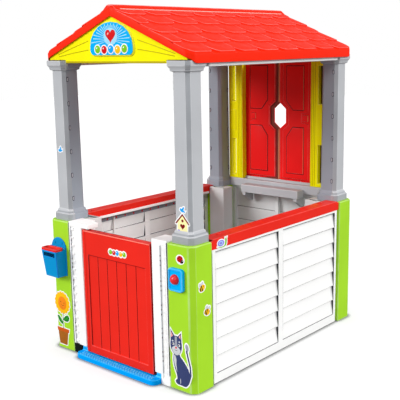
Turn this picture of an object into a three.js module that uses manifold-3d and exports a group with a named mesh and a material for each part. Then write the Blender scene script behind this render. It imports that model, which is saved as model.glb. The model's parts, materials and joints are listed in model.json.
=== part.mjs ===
// A child's open-sided plastic playhouse: corner posts and columns carry a pitched roof over
// louvred side walls, a swinging half-gate, a shuttered back window, a mailbox and a doorbell.
// Millimetres, +Z up, the gate side faces -Y. Needs the npm packages three and manifold-3d.
import * as THREE from "three";
import { mergeVertices } from "three/addons/utils/BufferGeometryUtils.js";
import Module from "manifold-3d";

const wasm = await Module();
wasm.setup();

// ---- Driving dimensions ------------------------------------------------------------------

const HALF_WIDTH = 396; // outer face of the corner posts, from the middle
const HALF_DEPTH = 549;
const WALL = 2.8; // moulded wall
const GAP = 0.3; // between pieces that touch

const POST = { height: 555, legX: 121, legY: 109, chamfer: 20, boltHole: 12 };
const POST_INNER_X = HALF_WIDTH - POST.legX;
const POST_INNER_Y = HALF_DEPTH - POST.legY;

const COLUMN = { x: 329, y: 482, foot: 41.5, head: 40, chamfer: 13, top: 1199, capital: 56 };
const PLINTH = { half: 54, tier: 48, slab: 28, height: 46, chamfer: 15, tierChamfer: 14 };
const CLIP = { count: 6, first: 645, pitch: 96, width: 6, height: 17 };

const LINER = { innerX: 238, outerX: 328, innerY: 400, endY: 471, height: 555 };

const PANEL = { face: 388, slatTip: 385, slatRoot: 376, back: 374, halfLength: 430, tongue: 439, rib: 213 };
const LOUVRE = { count: 7, bottom: 38, top: 510, sheet: 2.8 };
const SIDE_RAIL = { bottom: 521, top: 560, outer: 390, inner: 330 };
const PEG = { radius: 7, head: 10, inset: 350 };

const JAMB = { inner: 196, outer: 274.5, depth: 76, top: 560, lift: 40 };
const CHANNEL = { from: 239, to: 262, depth: 4.5, bottom: 22, top: 540, pitch: 34, stud: 11 };
const CAP = { reach: 40, bottom: 541 };

const GATE = { half: 190, bottom: 24, top: 537, thick: 28, field: 160, fieldBottom: 55, fieldTop: 437 };
const PLANK_PITCH = 53.5;
const GATE_AXIS = { x: -GATE.half + GATE.thick / 2, y: -HALF_DEPTH + GATE.thick / 2 };
const GATE_PIN = { radius: 5, head: 8, reach: 11, inside: 32 };

const STEP = { half: 227, front: 587, back: 500, height: 20, block: 39.5, corner: 26 };

const SILL = { bottom: 556, top: 595.5, front: 500 };
const BACK_PANEL = { front: 516, outer: 546 };
const SHELF = { half: 165, front: 446, bottom: 540, top: 578, bracket: 150 };

const FRAME = { inner: 197, outer: 281, front: 502, back: 532, bottom: 596, top: 1187 };
const SLOT = { from: 238, to: 260, lower: [614, 792], upper: [978, 1150] };
const LEAF = { edge: 1.5, front: 533, back: 549, bottom: 604, top: 1178, flange: 20 };
const LEAF_AXIS = { x: 208, y: 541, radius: 8, pin: 3.5 };
const PEEP = { half: 33, middle: 913, height: 118, corner: 26 };

const ROOF = { halfWidth: 392, halfLength: 530, eave: 1189, eaveTop: 1225, slope: 0.434, rows: 5 };
const ROOF_BASE = 1391; // height of the tile bed where the two slopes meet
const TILE_LIP = 4.5; // step at the lower edge of each row
const TILE_BED = 2.5; // upright thickness under the bed
const RAKE = 36; // depth of the edge band over each gable
const RIDGE = { top: 1400, flat: 12, half: 34, shoulder: 1381 };

const GABLE = { half: 368, front: 522, depth: 22, foot: 1200.5, beam: 1189, beamHalf: 271, drop: 7 };
const PLAQUE = { half: 114, bottom: 1219, shoulder: 1250, top: 1338, thick: 2.7, boss: 5 };
const EAVE_BEAM = { halfLength: 424, inner: 364, outer: 382, bottom: 1176, top: 1221 };

const MAILBOX = { x: -339, bottom: 325, rim: 437, plateTop: 484, halfTop: 46, halfBottom: 38 };
const MAILBOX_FRONT = { top: 607, bottom: 595, plate: 553.5 };
const LETTER_SLOT = { half: 35, bottom: 412, top: 429 };
const PLATE_SCREW = { inset: 22, hole: 2.6, head: 4.5, shank: 2.2 };
const LID = { half: 49, front: 609, bottom: 438, top: 445, axisY: -560.5, axisZ: 441.5, barrel: 4 };

const BELL = { left: 290, right: 359, bottom: 385, top: 470, front: 561.3, lip: 2.5 };
const BUTTON = { x: 322, z: 430, radius: 19, flange: 23, dome: 15 };

// ---- Materials ---------------------------------------------------------------------------

const finish = (color, roughness) => new THREE.MeshStandardMaterial({ color, roughness, metalness: 0 });
const lime = finish(0x9edb2a, 0.35);
const grey = finish(0xb4b6ba, 0.4);
const white = finish(0xf5f5f3, 0.4);
const red = finish(0xf03026, 0.3);
const roofRed = finish(0xff3c23, 0.3);
const yellow = finish(0xfff800, 0.35);
const skyBlue = finish(0x0aaaf5, 0.3);
const blue = finish(0x0080d0, 0.3);
const steel = new THREE.MeshStandardMaterial({ color: 0xb8bcc0, roughness: 0.3, metalness: 1 });

// ---- Helpers -----------------------------------------------------------------------------

// A closed three.js geometry as a solid that can be joined and cut.
function solid(geometry) {
  const bare = new THREE.BufferGeometry();
  bare.setAttribute("position", geometry.getAttribute("position"));
  bare.setIndex(geometry.index);
  const merged = mergeVertices(bare, 1e-4);
  const vertProperties = merged.attributes.position.array;
  const triVerts = new Uint32Array(merged.index.array);
  return new wasm.Manifold(new wasm.Mesh({ numProp: 3, vertProperties, triVerts }));
}

function geometryOf(body) {
  const made = body.getMesh();
  const flat = new THREE.BufferGeometry();
  flat.setAttribute("position", new THREE.BufferAttribute(made.vertProperties, 3));
  flat.setIndex(new THREE.BufferAttribute(made.triVerts, 1));
  flat.computeVertexNormals();
  return flat;
}

function piece(group, name, body, material) {
  const mesh = new THREE.Mesh(geometryOf(body), material);
  mesh.name = name;
  group.add(mesh);
}

const joined = (bodies) => bodies.reduce((sum, body) => sum.add(body));
const cut = (body, tools) => tools.reduce((rest, tool) => rest.subtract(tool), body);

function block([x0, x1], [y0, y1], [z0, z1]) {
  const box = new THREE.BoxGeometry(x1 - x0, y1 - y0, z1 - z0);
  box.translate((x0 + x1) / 2, (y0 + y1) / 2, (z0 + z1) / 2);
  return solid(box);
}

// A closed outline pushed from one level to another along the named axis. The outline's two
// coordinates are the other two axes in X, Y, Z order.
function prism(axis, outline, from, to) {
  const shape = outline instanceof THREE.Shape
    ? outline
    : new THREE.Shape(outline.map(([a, b]) => new THREE.Vector2(a, b)));
  const settings = { depth: to - from, bevelEnabled: false, curveSegments: 5 };
  const pushed = new THREE.ExtrudeGeometry(shape, settings);
  pushed.translate(0, 0, from);
  if (axis === "y") {
    pushed.translate(0, 0, -from - to);
    pushed.rotateX(Math.PI / 2);
  }
  if (axis === "x") {
    const turn = new THREE.Matrix4();
    turn.makeBasis(new THREE.Vector3(0, 1, 0), new THREE.Vector3(0, 0, 1), new THREE.Vector3(1, 0, 0));
    pushed.applyMatrix4(turn);
  }
  return solid(pushed);
}

// A round bar along X, Y or Z from one level to another.
function bar(axis, [a, b], radius, from, to, sides = 20) {
  const round = new THREE.CylinderGeometry(radius, radius, to - from, sides);
  round.translate(0, (from + to) / 2, 0);
  if (axis === "z") round.rotateX(Math.PI / 2);
  if (axis === "x") round.rotateZ(-Math.PI / 2);
  round.translate(axis === "x" ? 0 : a, axis === "x" ? a : axis === "y" ? 0 : b, axis === "z" ? 0 : b);
  return solid(round);
}

// A rectangle with rounded corners, as a shape.
function roundedRectangle(x0, x1, y0, y1, radius) {
  const shape = new THREE.Shape();
  shape.moveTo(x0 + radius, y0);
  shape.lineTo(x1 - radius, y0);
  shape.absarc(x1 - radius, y0 + radius, radius, -Math.PI / 2, 0);
  shape.lineTo(x1, y1 - radius);
  shape.absarc(x1 - radius, y1 - radius, radius, 0, Math.PI / 2);
  shape.lineTo(x0 + radius, y1);
  shape.absarc(x0 + radius, y1 - radius, radius, Math.PI / 2, Math.PI);
  shape.lineTo(x0, y0 + radius);
  shape.absarc(x0 + radius, y0 + radius, radius, Math.PI, 1.5 * Math.PI);
  return shape;
}

// A square bar with chamfered edges whose size changes with height: rings of [z, half, chamfer].
function chamferedLoft(rings, centreX, centreY) {
  const points = [];
  const faces = [];
  for (const [z, half, chamfer] of rings) {
    const flat = half - chamfer;
    const ring = [[half, -flat], [half, flat], [flat, half], [-flat, half]];
    const opposite = ring.map(([x, y]) => [-x, -y]);
    for (const [x, y] of [...ring, ...opposite]) points.push(centreX + x, centreY + y, z);
  }
  for (let level = 0; level + 1 < rings.length; level++) {
    for (let i = 0; i < 8; i++) {
      const [a, b] = [level * 8 + i, level * 8 + ((i + 1) % 8)];
      faces.push(a, b, b + 8, a, b + 8, a + 8);
    }
  }
  const last = (rings.length - 1) * 8;
  for (let i = 1; i < 7; i++) faces.push(0, i + 1, i, last, last + i, last + i + 1);
  const loft = new THREE.BufferGeometry();
  loft.setAttribute("position", new THREE.Float32BufferAttribute(points, 3));
  loft.setIndex(faces);
  return solid(loft);
}

// ---- Corners: post, liner and the two-part column ------------------------------------------

// Built for the +X +Y corner; the other corners are mirror images.
function cornerPost() {
  const outline = (inset) => [
    [POST_INNER_X + inset, POST_INNER_Y + inset],
    [HALF_WIDTH - inset, POST_INNER_Y + inset],
    [HALF_WIDTH - inset, HALF_DEPTH - POST.chamfer - inset / 2],
    [HALF_WIDTH - POST.chamfer - inset / 2, HALF_DEPTH - inset],
    [POST_INNER_X + inset, HALF_DEPTH - inset],
  ];
  const shell = prism("z", outline(0), 0, POST.height);
  const inside = prism("z", outline(WALL), -1, POST.height - WALL);
  const boltHole = bar("z", [COLUMN.x, COLUMN.y], POST.boltHole, POST.height - 10, POST.height + 1, 16);
  return cut(shell, [inside, boltHole]);
}

function cornerLiner() {
  const outline = (inset) => [
    [LINER.innerX + inset, LINER.innerY + inset],
    [LINER.outerX - inset, LINER.innerY + inset],
    [LINER.outerX - inset, POST_INNER_Y - GAP - inset],
    [POST_INNER_X - GAP - inset, POST_INNER_Y - GAP - inset],
    [POST_INNER_X - GAP - inset, LINER.endY - inset],
    [LINER.innerX + inset, LINER.endY - inset],
  ];
  const shell = prism("z", outline(0), 0, LINER.height);
  const inside = prism("z", outline(WALL), -1, LINER.height - WALL);
  const socketX = [LINER.innerX + 12, LINER.outerX - 8];
  const socket = block(socketX, [LINER.innerY + 8, POST_INNER_Y - 9], [LINER.height - 9, LINER.height + 1]);
  return cut(shell, [inside, socket]);
}

function columnHalves() {
  const foot = POST.height + GAP;
  const slabTop = foot + PLINTH.slab;
  const shaftFoot = foot + PLINTH.height;
  const shaftHead = COLUMN.top - 39;
  const shell = chamferedLoft([
    [foot, PLINTH.half, PLINTH.chamfer],
    [slabTop, PLINTH.half, PLINTH.chamfer],
    [slabTop + 3, PLINTH.tier, PLINTH.tierChamfer],
    [shaftFoot - 7, PLINTH.tier - 1, PLINTH.tierChamfer],
    [shaftFoot, COLUMN.foot, COLUMN.chamfer],
    [shaftHead, COLUMN.head, COLUMN.chamfer],
    [shaftHead + 3, PLINTH.tier, PLINTH.tierChamfer],
    [shaftHead + 11, PLINTH.tier + 1, PLINTH.tierChamfer],
    [COLUMN.top - 18, COLUMN.capital, PLINTH.chamfer],
    [COLUMN.top, COLUMN.capital, PLINTH.chamfer],
  ], COLUMN.x, COLUMN.y);
  const inside = chamferedLoft([
    [foot - 1, PLINTH.half - WALL, PLINTH.chamfer - 2],
    [slabTop - 2, PLINTH.half - WALL, PLINTH.chamfer - 2],
    [shaftFoot - 4, COLUMN.foot - WALL, COLUMN.chamfer - 2],
    [shaftHead + 2, COLUMN.head - WALL, COLUMN.chamfer - 2],
    [COLUMN.top - 15, COLUMN.capital - WALL, PLINTH.chamfer - 2],
    [COLUMN.top + 1, COLUMN.capital - WALL, PLINTH.chamfer - 2],
  ], COLUMN.x, COLUMN.y);
  const tube = shell.subtract(inside);
  const seam = COLUMN.head - COLUMN.chamfer;
  const far = COLUMN.capital + 5;
  const roomSide = (offset) => block(
    [COLUMN.x - far, COLUMN.x + seam + offset],
    [COLUMN.y - far, COLUMN.y + seam + offset],
    [foot - 5, COLUMN.top + 5],
  );
  const clips = [];
  for (let i = 0; i < CLIP.count; i++) {
    const middle = CLIP.first + i * CLIP.pitch;
    const height = [middle - CLIP.height / 2, middle + CLIP.height / 2];
    const across = (centre) => [centre - COLUMN.foot - 2, centre - COLUMN.foot + WALL + 3];
    const along = (centre) => [centre + seam - CLIP.width, centre + seam + 1];
    clips.push(block(across(COLUMN.x), along(COLUMN.y), height));
    clips.push(block(along(COLUMN.x), across(COLUMN.y), height));
  }
  const outer = tube.subtract(roomSide(0));
  const inner = cut(tube.intersect(roomSide(-GAP)), clips);
  return { outer, inner };
}

// ---- Louvred walls -------------------------------------------------------------------------

// Overlapping boards as one thin folded sheet, across a wall whose outside is at the high side
// of the first coordinate: [outward, height] points.
function louvreOutline(tip, root) {
  const pitch = (LOUVRE.top - LOUVRE.bottom) / LOUVRE.count;
  const outside = [];
  const inside = [];
  for (let i = 0; i < LOUVRE.count; i++) {
    const low = LOUVRE.bottom + i * pitch;
    outside.push([tip, low], [root, low + pitch]);
    const lift = low + LOUVRE.sheet;
    inside.unshift([root - LOUVRE.sheet, lift + pitch], [tip - LOUVRE.sheet, lift]);
  }
  inside[0][1] = LOUVRE.top;
  return [...outside, ...inside];
}

function sidePanel() {
  const ends = [-PANEL.halfLength, PANEL.halfLength];
  const depth = [PANEL.back, PANEL.face];
  const parts = [
    prism("y", louvreOutline(PANEL.slatTip, PANEL.slatRoot), ends[0] + 5, ends[1] - 5),
    block(depth, ends, [0, LOUVRE.bottom + 1]),
    block(depth, ends, [LOUVRE.top - 1, SIDE_RAIL.bottom - GAP]),
    block([PANEL.back, SIDE_RAIL.outer - WALL - GAP], ends, [SIDE_RAIL.bottom - 5, 545]),
    block(depth, [-16, 16], [0, LOUVRE.top]),
  ];
  for (const side of [-1, 1]) {
    const stile = [side * PANEL.halfLength, side * (PANEL.halfLength - 18)].sort((a, b) => a - b);
    parts.push(block(depth, stile, [0, LOUVRE.top]));
    const tongue = [side * PANEL.tongue, side * (PANEL.halfLength - 1)].sort((a, b) => a - b);
    parts.push(block([PANEL.back, PANEL.back + 8], tongue, [0, 545]));
    const rib = side * PANEL.rib;
    parts.push(block([PANEL.back - 8, PANEL.back + 1], [rib - 4, rib + 4], [0, 545]));
  }
  return joined(parts);
}

function backPanel() {
  const half = POST_INNER_X - 0.5;
  const depth = [BACK_PANEL.front, BACK_PANEL.outer];
  const top = SILL.bottom - GAP;
  const reach = PANEL.face - BACK_PANEL.outer;
  const boards = louvreOutline(PANEL.slatTip - reach, PANEL.slatRoot - reach);
  const sheet = prism("x", boards, -half + 5, half - 5);
  const parts = [sheet];
  parts.push(block([-half, half], [BACK_PANEL.outer - 17, BACK_PANEL.outer], [0, LOUVRE.bottom + 1]));
  parts.push(block([-half, half], [BACK_PANEL.outer - 17, BACK_PANEL.outer], [LOUVRE.top - 1, top]));
  parts.push(block([-half, half], depth, [top - 14, top]));
  for (const x of [-half + 9, 0, half - 9]) {
    parts.push(block([x - 9, x + 9], depth, [0, top]));
  }
  return joined(parts);
}

const pegX = (SIDE_RAIL.inner + SIDE_RAIL.outer) / 2 - 10;

function sideRail() {
  const halfLength = POST_INNER_Y - GAP;
  const across = [SIDE_RAIL.inner, SIDE_RAIL.outer];
  const cover = block(across, [-halfLength, halfLength], [SIDE_RAIL.bottom, SIDE_RAIL.top]);
  const inside = block(
    [SIDE_RAIL.inner + WALL, SIDE_RAIL.outer - WALL],
    [-halfLength - 1, halfLength + 1],
    [SIDE_RAIL.bottom - 1, SIDE_RAIL.top - WALL],
  );
  const pegHoles = [-1, 1].map((side) =>
    bar("z", [pegX, side * PEG.inset], PEG.radius + GAP, SIDE_RAIL.top - 8, SIDE_RAIL.top + 1, 12));
  const plinthEdge = COLUMN.y - PLINTH.half - GAP;
  const plinthNotches = [-1, 1].map((side) => {
    const y = [side * plinthEdge, side * (plinthEdge + 20)].sort((a, b) => a - b);
    return block([SIDE_RAIL.inner - 1, SIDE_RAIL.outer + 1], y, [POST.height, SIDE_RAIL.top + 1]);
  });
  return cut(cover, [inside, ...pegHoles, ...plinthNotches]);
}

// A push-in peg: a shank through the rail with a thin head on top.
function railPeg(side) {
  const at = [pegX, side * PEG.inset];
  const shank = bar("z", at, PEG.radius, SIDE_RAIL.bottom + 8, SIDE_RAIL.top + 1, 12);
  const head = bar("z", at, PEG.head, SIDE_RAIL.top + GAP, SIDE_RAIL.top + 3, 12);
  return shank.add(head);
}

// ---- Gateway: jambs, step and gate -----------------------------------------------------------

// Built for the +X side. The hinge side is its mirror image with a cap over the gate's corner, and
// stops over the step's height all along its foot, where the other one reaches down beside the step.
function jamb(hingeSide) {
  const front = -HALF_DEPTH;
  const back = front + JAMB.depth;
  const outline = (inset) => [
    [JAMB.inner + inset, front + inset],
    [JAMB.outer - inset, front + inset],
    [JAMB.outer - inset, back - inset],
    [JAMB.inner + inset, back - inset],
  ];
  const shell = prism("z", outline(0), 0, JAMB.top);
  const inside = prism("z", outline(WALL), -1, JAMB.top - WALL);
  const channelFloor = front + CHANNEL.depth;
  const channelWall = block(
    [CHANNEL.from - WALL, CHANNEL.to + WALL],
    [front + 1, channelFloor + WALL],
    [CHANNEL.bottom - WALL, CHANNEL.top + WALL],
  );
  const channel = block([CHANNEL.from, CHANNEL.to], [front - 1, channelFloor], [CHANNEL.bottom, CHANNEL.top]);
  const footX = [JAMB.inner - 1, hingeSide ? JAMB.outer + 1 : STEP.half + 1.5];
  const foot = block(footX, [front - 1, back + 1], [-1, JAMB.lift]);
  let body = cut(shell, [inside]).add(channelWall);
  body = cut(body, [channel, foot]);
  for (let z = CHANNEL.bottom + 26; z < CHANNEL.top - 10; z += CHANNEL.pitch) {
    const studY = [channelFloor - CHANNEL.depth + 1, channelFloor + 1];
    const stud = block([CHANNEL.from + 8, CHANNEL.to + 1], studY, [z, z + CHANNEL.stud]);
    body = body.add(stud);
  }
  if (!hingeSide) {
    const behindGate = front + GATE.thick;
    const stop = block([GATE.half - 12, JAMB.inner + 1], [behindGate + 1.5, behindGate + 6], [60, 520]);
    return body.add(stop);
  }
  const capX = [JAMB.inner - CAP.reach, JAMB.inner + 1];
  const cap = block(capX, [front, back - 20], [CAP.bottom, JAMB.top]);
  const pinAt = [-GATE_AXIS.x, GATE_AXIS.y];
  const socket = bar("z", pinAt, GATE_PIN.radius + 0.4, CAP.bottom - 1, CAP.bottom + 12, 20);
  return cut(body.add(cap), [socket]);
}

function thresholdStep() {
  const back = -STEP.back;
  const tread = roundedRectangle(-STEP.half, STEP.half, -STEP.front, back, STEP.corner);
  const shell = prism("z", tread, 0, STEP.height);
  const halfInside = STEP.half - WALL;
  const insideY = [-STEP.front + WALL, back - WALL];
  const inside = roundedRectangle(-halfInside, halfInside, ...insideY, STEP.corner - WALL);
  const hollow = prism("z", inside, -1, STEP.height - WALL);
  const blocks = [-1, 1].map((side) => {
    const x = [side * (JAMB.inner + 1), side * STEP.half].sort((a, b) => a - b);
    return block(x, [-HALF_DEPTH + 4, back - 4], [STEP.height - 1, STEP.block]);
  });
  const treadRibs = [];
  for (let i = 0; i < 3; i++) {
    const y = -STEP.front + 9 + i * 10;
    const x = [-STEP.half + 24, STEP.half - 24];
    treadRibs.push(block(x, [y, y + 4], [STEP.height - 1, STEP.height + 1.5]));
  }
  const socket = bar("z", [GATE_AXIS.x, GATE_AXIS.y], GATE_PIN.radius + 0.4, -1, STEP.height + 5, 20);
  return cut(joined([cut(shell, [hollow]), ...blocks, ...treadRibs]), [socket]);
}

// The gate's outline from above, with a half-round hinge edge on the pin's line.
function gatePlan(inset) {
  const radius = GATE.thick / 2 - inset;
  const plan = new THREE.Shape();
  plan.moveTo(GATE_AXIS.x, GATE_AXIS.y - radius);
  plan.lineTo(GATE.half - inset, GATE_AXIS.y - radius);
  plan.lineTo(GATE.half - inset, GATE_AXIS.y + radius);
  plan.lineTo(GATE_AXIS.x, GATE_AXIS.y + radius);
  plan.absarc(GATE_AXIS.x, GATE_AXIS.y, radius, Math.PI / 2, 1.5 * Math.PI);
  return plan;
}

function gateShells() {
  const whole = prism("z", gatePlan(0), GATE.bottom, GATE.top);
  const hollow = prism("z", gatePlan(WALL), GATE.bottom + WALL, GATE.top - WALL);
  let body = whole.subtract(hollow);
  const fieldX = [-GATE.field, GATE.field];
  const fieldZ = [GATE.fieldBottom, GATE.fieldTop];
  const recess = 4;
  for (const side of [-1, 1]) {
    const face = GATE_AXIS.y + (side * GATE.thick) / 2;
    const toward = (depth) => face - side * depth;
    const span = (a, b) => [toward(a), toward(b)].sort((p, q) => p - q);
    const behindX = [-GATE.field - WALL, GATE.field + WALL];
    const behindZ = [GATE.fieldBottom - WALL, GATE.fieldTop + WALL];
    body = body.add(block(behindX, span(1, recess + WALL), behindZ));
    body = body.subtract(block(fieldX, span(-1, recess), fieldZ));
    for (let i = -2; i <= 2; i++) {
      const x = i * PLANK_PITCH;
      body = body.subtract(block([x - 1.5, x + 1.5], span(recess - 1, recess + 1.8), fieldZ));
    }
  }
  const pinHole = bar("z", [GATE_AXIS.x, GATE_AXIS.y], GATE_PIN.radius + GAP, 0, GATE.top + 20, 20);
  body = body.subtract(pinHole);
  const far = [-GATE.half - 5, GATE.half + 5];
  const tall = [GATE.bottom - 5, GATE.top + 5];
  const frontHalf = block(far, [-HALF_DEPTH - 5, GATE_AXIS.y - GAP / 2], tall);
  const backHalf = block(far, [GATE_AXIS.y + GAP / 2, -HALF_DEPTH + GATE.thick + 5], tall);
  return { front: body.intersect(frontHalf), back: body.intersect(backHalf) };
}

// A headed hinge pin held between the gate's two shells.
function gatePin(atTop) {
  const at = [GATE_AXIS.x, GATE_AXIS.y];
  const edge = atTop ? GATE.top : GATE.bottom;
  const way = atTop ? 1 : -1;
  const span = (a, b) => [edge + way * a, edge + way * b].sort((p, q) => p - q);
  const shank = bar("z", at, GATE_PIN.radius, ...span(-GATE_PIN.inside, GATE_PIN.reach));
  const head = bar("z", at, GATE_PIN.head, ...span(-GATE_PIN.inside - 6, -GATE_PIN.inside + 1));
  return shank.add(head);
}

// ---- Back wall: sill, shelf, window frames and shutters ----------------------------------------

function backSill() {
  const half = POST_INNER_X - 0.5;
  const outer = block([-half, half], [SILL.front, HALF_DEPTH - 2], [SILL.bottom, SILL.top]);
  const inside = block(
    [-half + WALL, half - WALL],
    [SILL.front + WALL, HALF_DEPTH - 2 - WALL],
    [SILL.bottom - 1, SILL.top - WALL],
  );
  return cut(outer, [inside]);
}

function shelf() {
  const back = SILL.front - GAP;
  const outer = block([-SHELF.half, SHELF.half], [SHELF.front, back], [SHELF.bottom, SHELF.top]);
  const inside = block(
    [-SHELF.half + WALL, SHELF.half - WALL],
    [SHELF.front + WALL, back - WALL],
    [SHELF.bottom - 1, SHELF.top - WALL],
  );
  return cut(outer, [inside]);
}

// A triangular bracket under the shelf, against the back wall.
function shelfBracket(side) {
  const back = BACK_PANEL.front - GAP;
  const under = SHELF.bottom - GAP;
  const [nose, foot] = [SHELF.front + 4, under - 48];
  const web = [[nose, under], [back, under], [back, foot], [back - 12, foot], [nose, under - 14]];
  const x = side * SHELF.bracket;
  return prism("x", web, x - 9, x + 9);
}

function windowFrame() {
  const capitalSide = COLUMN.x - COLUMN.capital - 0.5;
  const capitalFoot = COLUMN.top - 43;
  const outer = prism("y", [
    [FRAME.inner, FRAME.bottom], [FRAME.outer, FRAME.bottom], [FRAME.outer, capitalFoot],
    [capitalSide, capitalFoot], [capitalSide, FRAME.top], [FRAME.inner, FRAME.top],
  ], FRAME.front, FRAME.back);
  const through = [FRAME.front - 1, FRAME.back + 1];
  const slots = [SLOT.lower, SLOT.upper].map((z) => block([SLOT.from, SLOT.to], through, z));
  const left = [FRAME.inner + WALL, SLOT.from - WALL];
  const right = [SLOT.to + WALL, FRAME.outer - WALL];
  const bridge = [SLOT.lower[1] + WALL, SLOT.upper[0] - WALL];
  const inside = prism("y", [
    [left[0], FRAME.bottom + WALL], [left[1], FRAME.bottom + WALL], [left[1], bridge[0]],
    [right[0], bridge[0]], [right[0], FRAME.bottom + WALL], [right[1], FRAME.bottom + WALL],
    [right[1], capitalFoot - WALL], [right[0], capitalFoot - WALL], [right[0], bridge[1]],
    [left[1], bridge[1]], [left[1], FRAME.top - WALL], [left[0], FRAME.top - WALL],
  ], FRAME.front + WALL, FRAME.back - WALL);
  const middleY = (FRAME.front + FRAME.back) / 2;
  const blowHole = bar("z", [left[0] + 15, middleY], 3, FRAME.bottom - 1, FRAME.bottom + 6, 8);
  const ears = [[FRAME.bottom, LEAF.bottom - 0.8], [LEAF.top + 0.8, FRAME.top]].map((z) => {
    const ear = block([LEAF_AXIS.x - 9, LEAF_AXIS.x + 9], [FRAME.back - 1, LEAF.back], z);
    return cut(ear, [bar("z", [LEAF_AXIS.x, LEAF_AXIS.y], LEAF_AXIS.pin + GAP, z[0] - 1, z[1] + 1, 16)]);
  });
  const panel = block([SLOT.from - 2, SLOT.to + 6], [FRAME.front - 2, FRAME.front + 1], [835, 935]);
  return joined([cut(outer, [...slots, inside, blowHole]), ...ears, panel]);
}

// The leaf's free edge, bitten by half of the octagonal peep hole, at an inset from both.
function leafOutline(inset, outer, bottom, top) {
  const low = PEEP.middle - PEEP.height / 2;
  const high = PEEP.middle + PEEP.height / 2;
  const edge = LEAF.edge + inset;
  const bite = PEEP.half + inset;
  const slope = inset * 0.4;
  return [
    [edge, bottom], [outer, bottom], [outer, top], [edge, top],
    [edge, high + slope], [bite, high - PEEP.corner + slope],
    [bite, low + PEEP.corner - slope], [edge, low - slope],
  ];
}

function shutter() {
  const skin = LEAF_AXIS.y;
  const flange = prism("y", leafOutline(0, LEAF_AXIS.x, LEAF.bottom, LEAF.top), skin, LEAF.back);
  const field = leafOutline(LEAF.flange, LEAF_AXIS.x, LEAF.bottom + 12, LEAF.top - 12);
  const raised = prism("y", field, LEAF.front, skin + 1);
  const barrel = bar("z", [LEAF_AXIS.x, LEAF_AXIS.y], LEAF_AXIS.radius, LEAF.bottom, LEAF.top, 24);
  const inset = LEAF.flange + WALL;
  const cavity = leafOutline(inset, LEAF_AXIS.x - 10, LEAF.bottom + 16, LEAF.top - 16);
  const inside = prism("y", cavity, LEAF.front + WALL, LEAF.back - WALL);
  const blowHole = bar("z", [120, skin + 2], 2.5, LEAF.bottom - 1, LEAF.bottom + 20, 8);
  const pinHoles = [[LEAF.bottom - 1, LEAF.bottom + 32], [LEAF.top - 32, LEAF.top + 1]].map((z) =>
    bar("z", [LEAF_AXIS.x, LEAF_AXIS.y], LEAF_AXIS.pin + GAP, ...z, 16));
  return cut(joined([flange, raised, barrel]), [inside, blowHole, ...pinHoles]);
}

function shutterPin(atTop) {
  const span = atTop ? [LEAF.top - 30, FRAME.top - 0.5] : [FRAME.bottom + 0.5, LEAF.bottom + 30];
  return bar("z", [LEAF_AXIS.x, LEAF_AXIS.y], LEAF_AXIS.pin, ...span, 16);
}

// ---- Roof -----------------------------------------------------------------------------------

const bedHeight = (x) => ROOF_BASE - ROOF.slope * x;

// Built for the +X slope: tile rows as shallow steps, an eave skirt and a band at each end.
function roofSlope() {
  const start = 0.5;
  const pitch = (ROOF.halfWidth - start) / ROOF.rows;
  const top = [];
  for (let i = 0; i < ROOF.rows; i++) {
    const [high, low] = [start + i * pitch, start + (i + 1) * pitch];
    top.push([high, bedHeight(high)], [low, bedHeight(low) + TILE_LIP]);
  }
  top[top.length - 1] = [ROOF.halfWidth, ROOF.eaveTop];
  const sheet = prism("y", [
    ...top,
    [ROOF.halfWidth, ROOF.eave], [ROOF.halfWidth - WALL, ROOF.eave],
    [ROOF.halfWidth - WALL, bedHeight(ROOF.halfWidth - WALL) - TILE_BED],
    [start, bedHeight(start) - TILE_BED],
  ], -ROOF.halfLength, ROOF.halfLength);
  const band = [
    ...top, [ROOF.halfWidth, ROOF.eave], [ROOF.halfWidth - WALL, ROOF.eave],
    [ROOF.halfWidth - WALL, COLUMN.top + 1.5], [start, ROOF_BASE + 4 - RAKE],
  ];
  const bands = [-1, 1].map((side) => {
    const y = [side * ROOF.halfLength, side * (ROOF.halfLength - WALL)].sort((a, b) => a - b);
    return prism("y", band, ...y);
  });
  return joined([sheet, ...bands]);
}

function ridgeCap() {
  const rowPitch = ROOF.halfWidth / ROOF.rows;
  const seat = bedHeight(RIDGE.half) + (TILE_LIP * RIDGE.half) / rowPitch + 2 * GAP;
  return prism("y", [
    [0, ROOF_BASE + GAP + 0.4], [RIDGE.half, seat], [RIDGE.half, RIDGE.shoulder], [RIDGE.flat, RIDGE.top],
    [-RIDGE.flat, RIDGE.top], [-RIDGE.half, RIDGE.shoulder], [-RIDGE.half, seat],
  ], -ROOF.halfLength, ROOF.halfLength);
}

function plaqueShape(grow) {
  const half = PLAQUE.half + grow;
  const corner = 20 + grow;
  const shape = new THREE.Shape();
  shape.moveTo(-half + corner, PLAQUE.bottom - grow);
  shape.lineTo(half - corner, PLAQUE.bottom - grow);
  shape.absarc(half - corner, PLAQUE.bottom - grow + corner, corner, -Math.PI / 2, 0);
  shape.lineTo(half, PLAQUE.shoulder);
  shape.absellipse(0, PLAQUE.shoulder, half, PLAQUE.top - PLAQUE.shoulder + grow, 0, Math.PI);
  shape.lineTo(-half, PLAQUE.bottom - grow + corner);
  shape.absarc(-half + corner, PLAQUE.bottom - grow + corner, corner, Math.PI, 1.5 * Math.PI);
  return shape;
}

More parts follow.
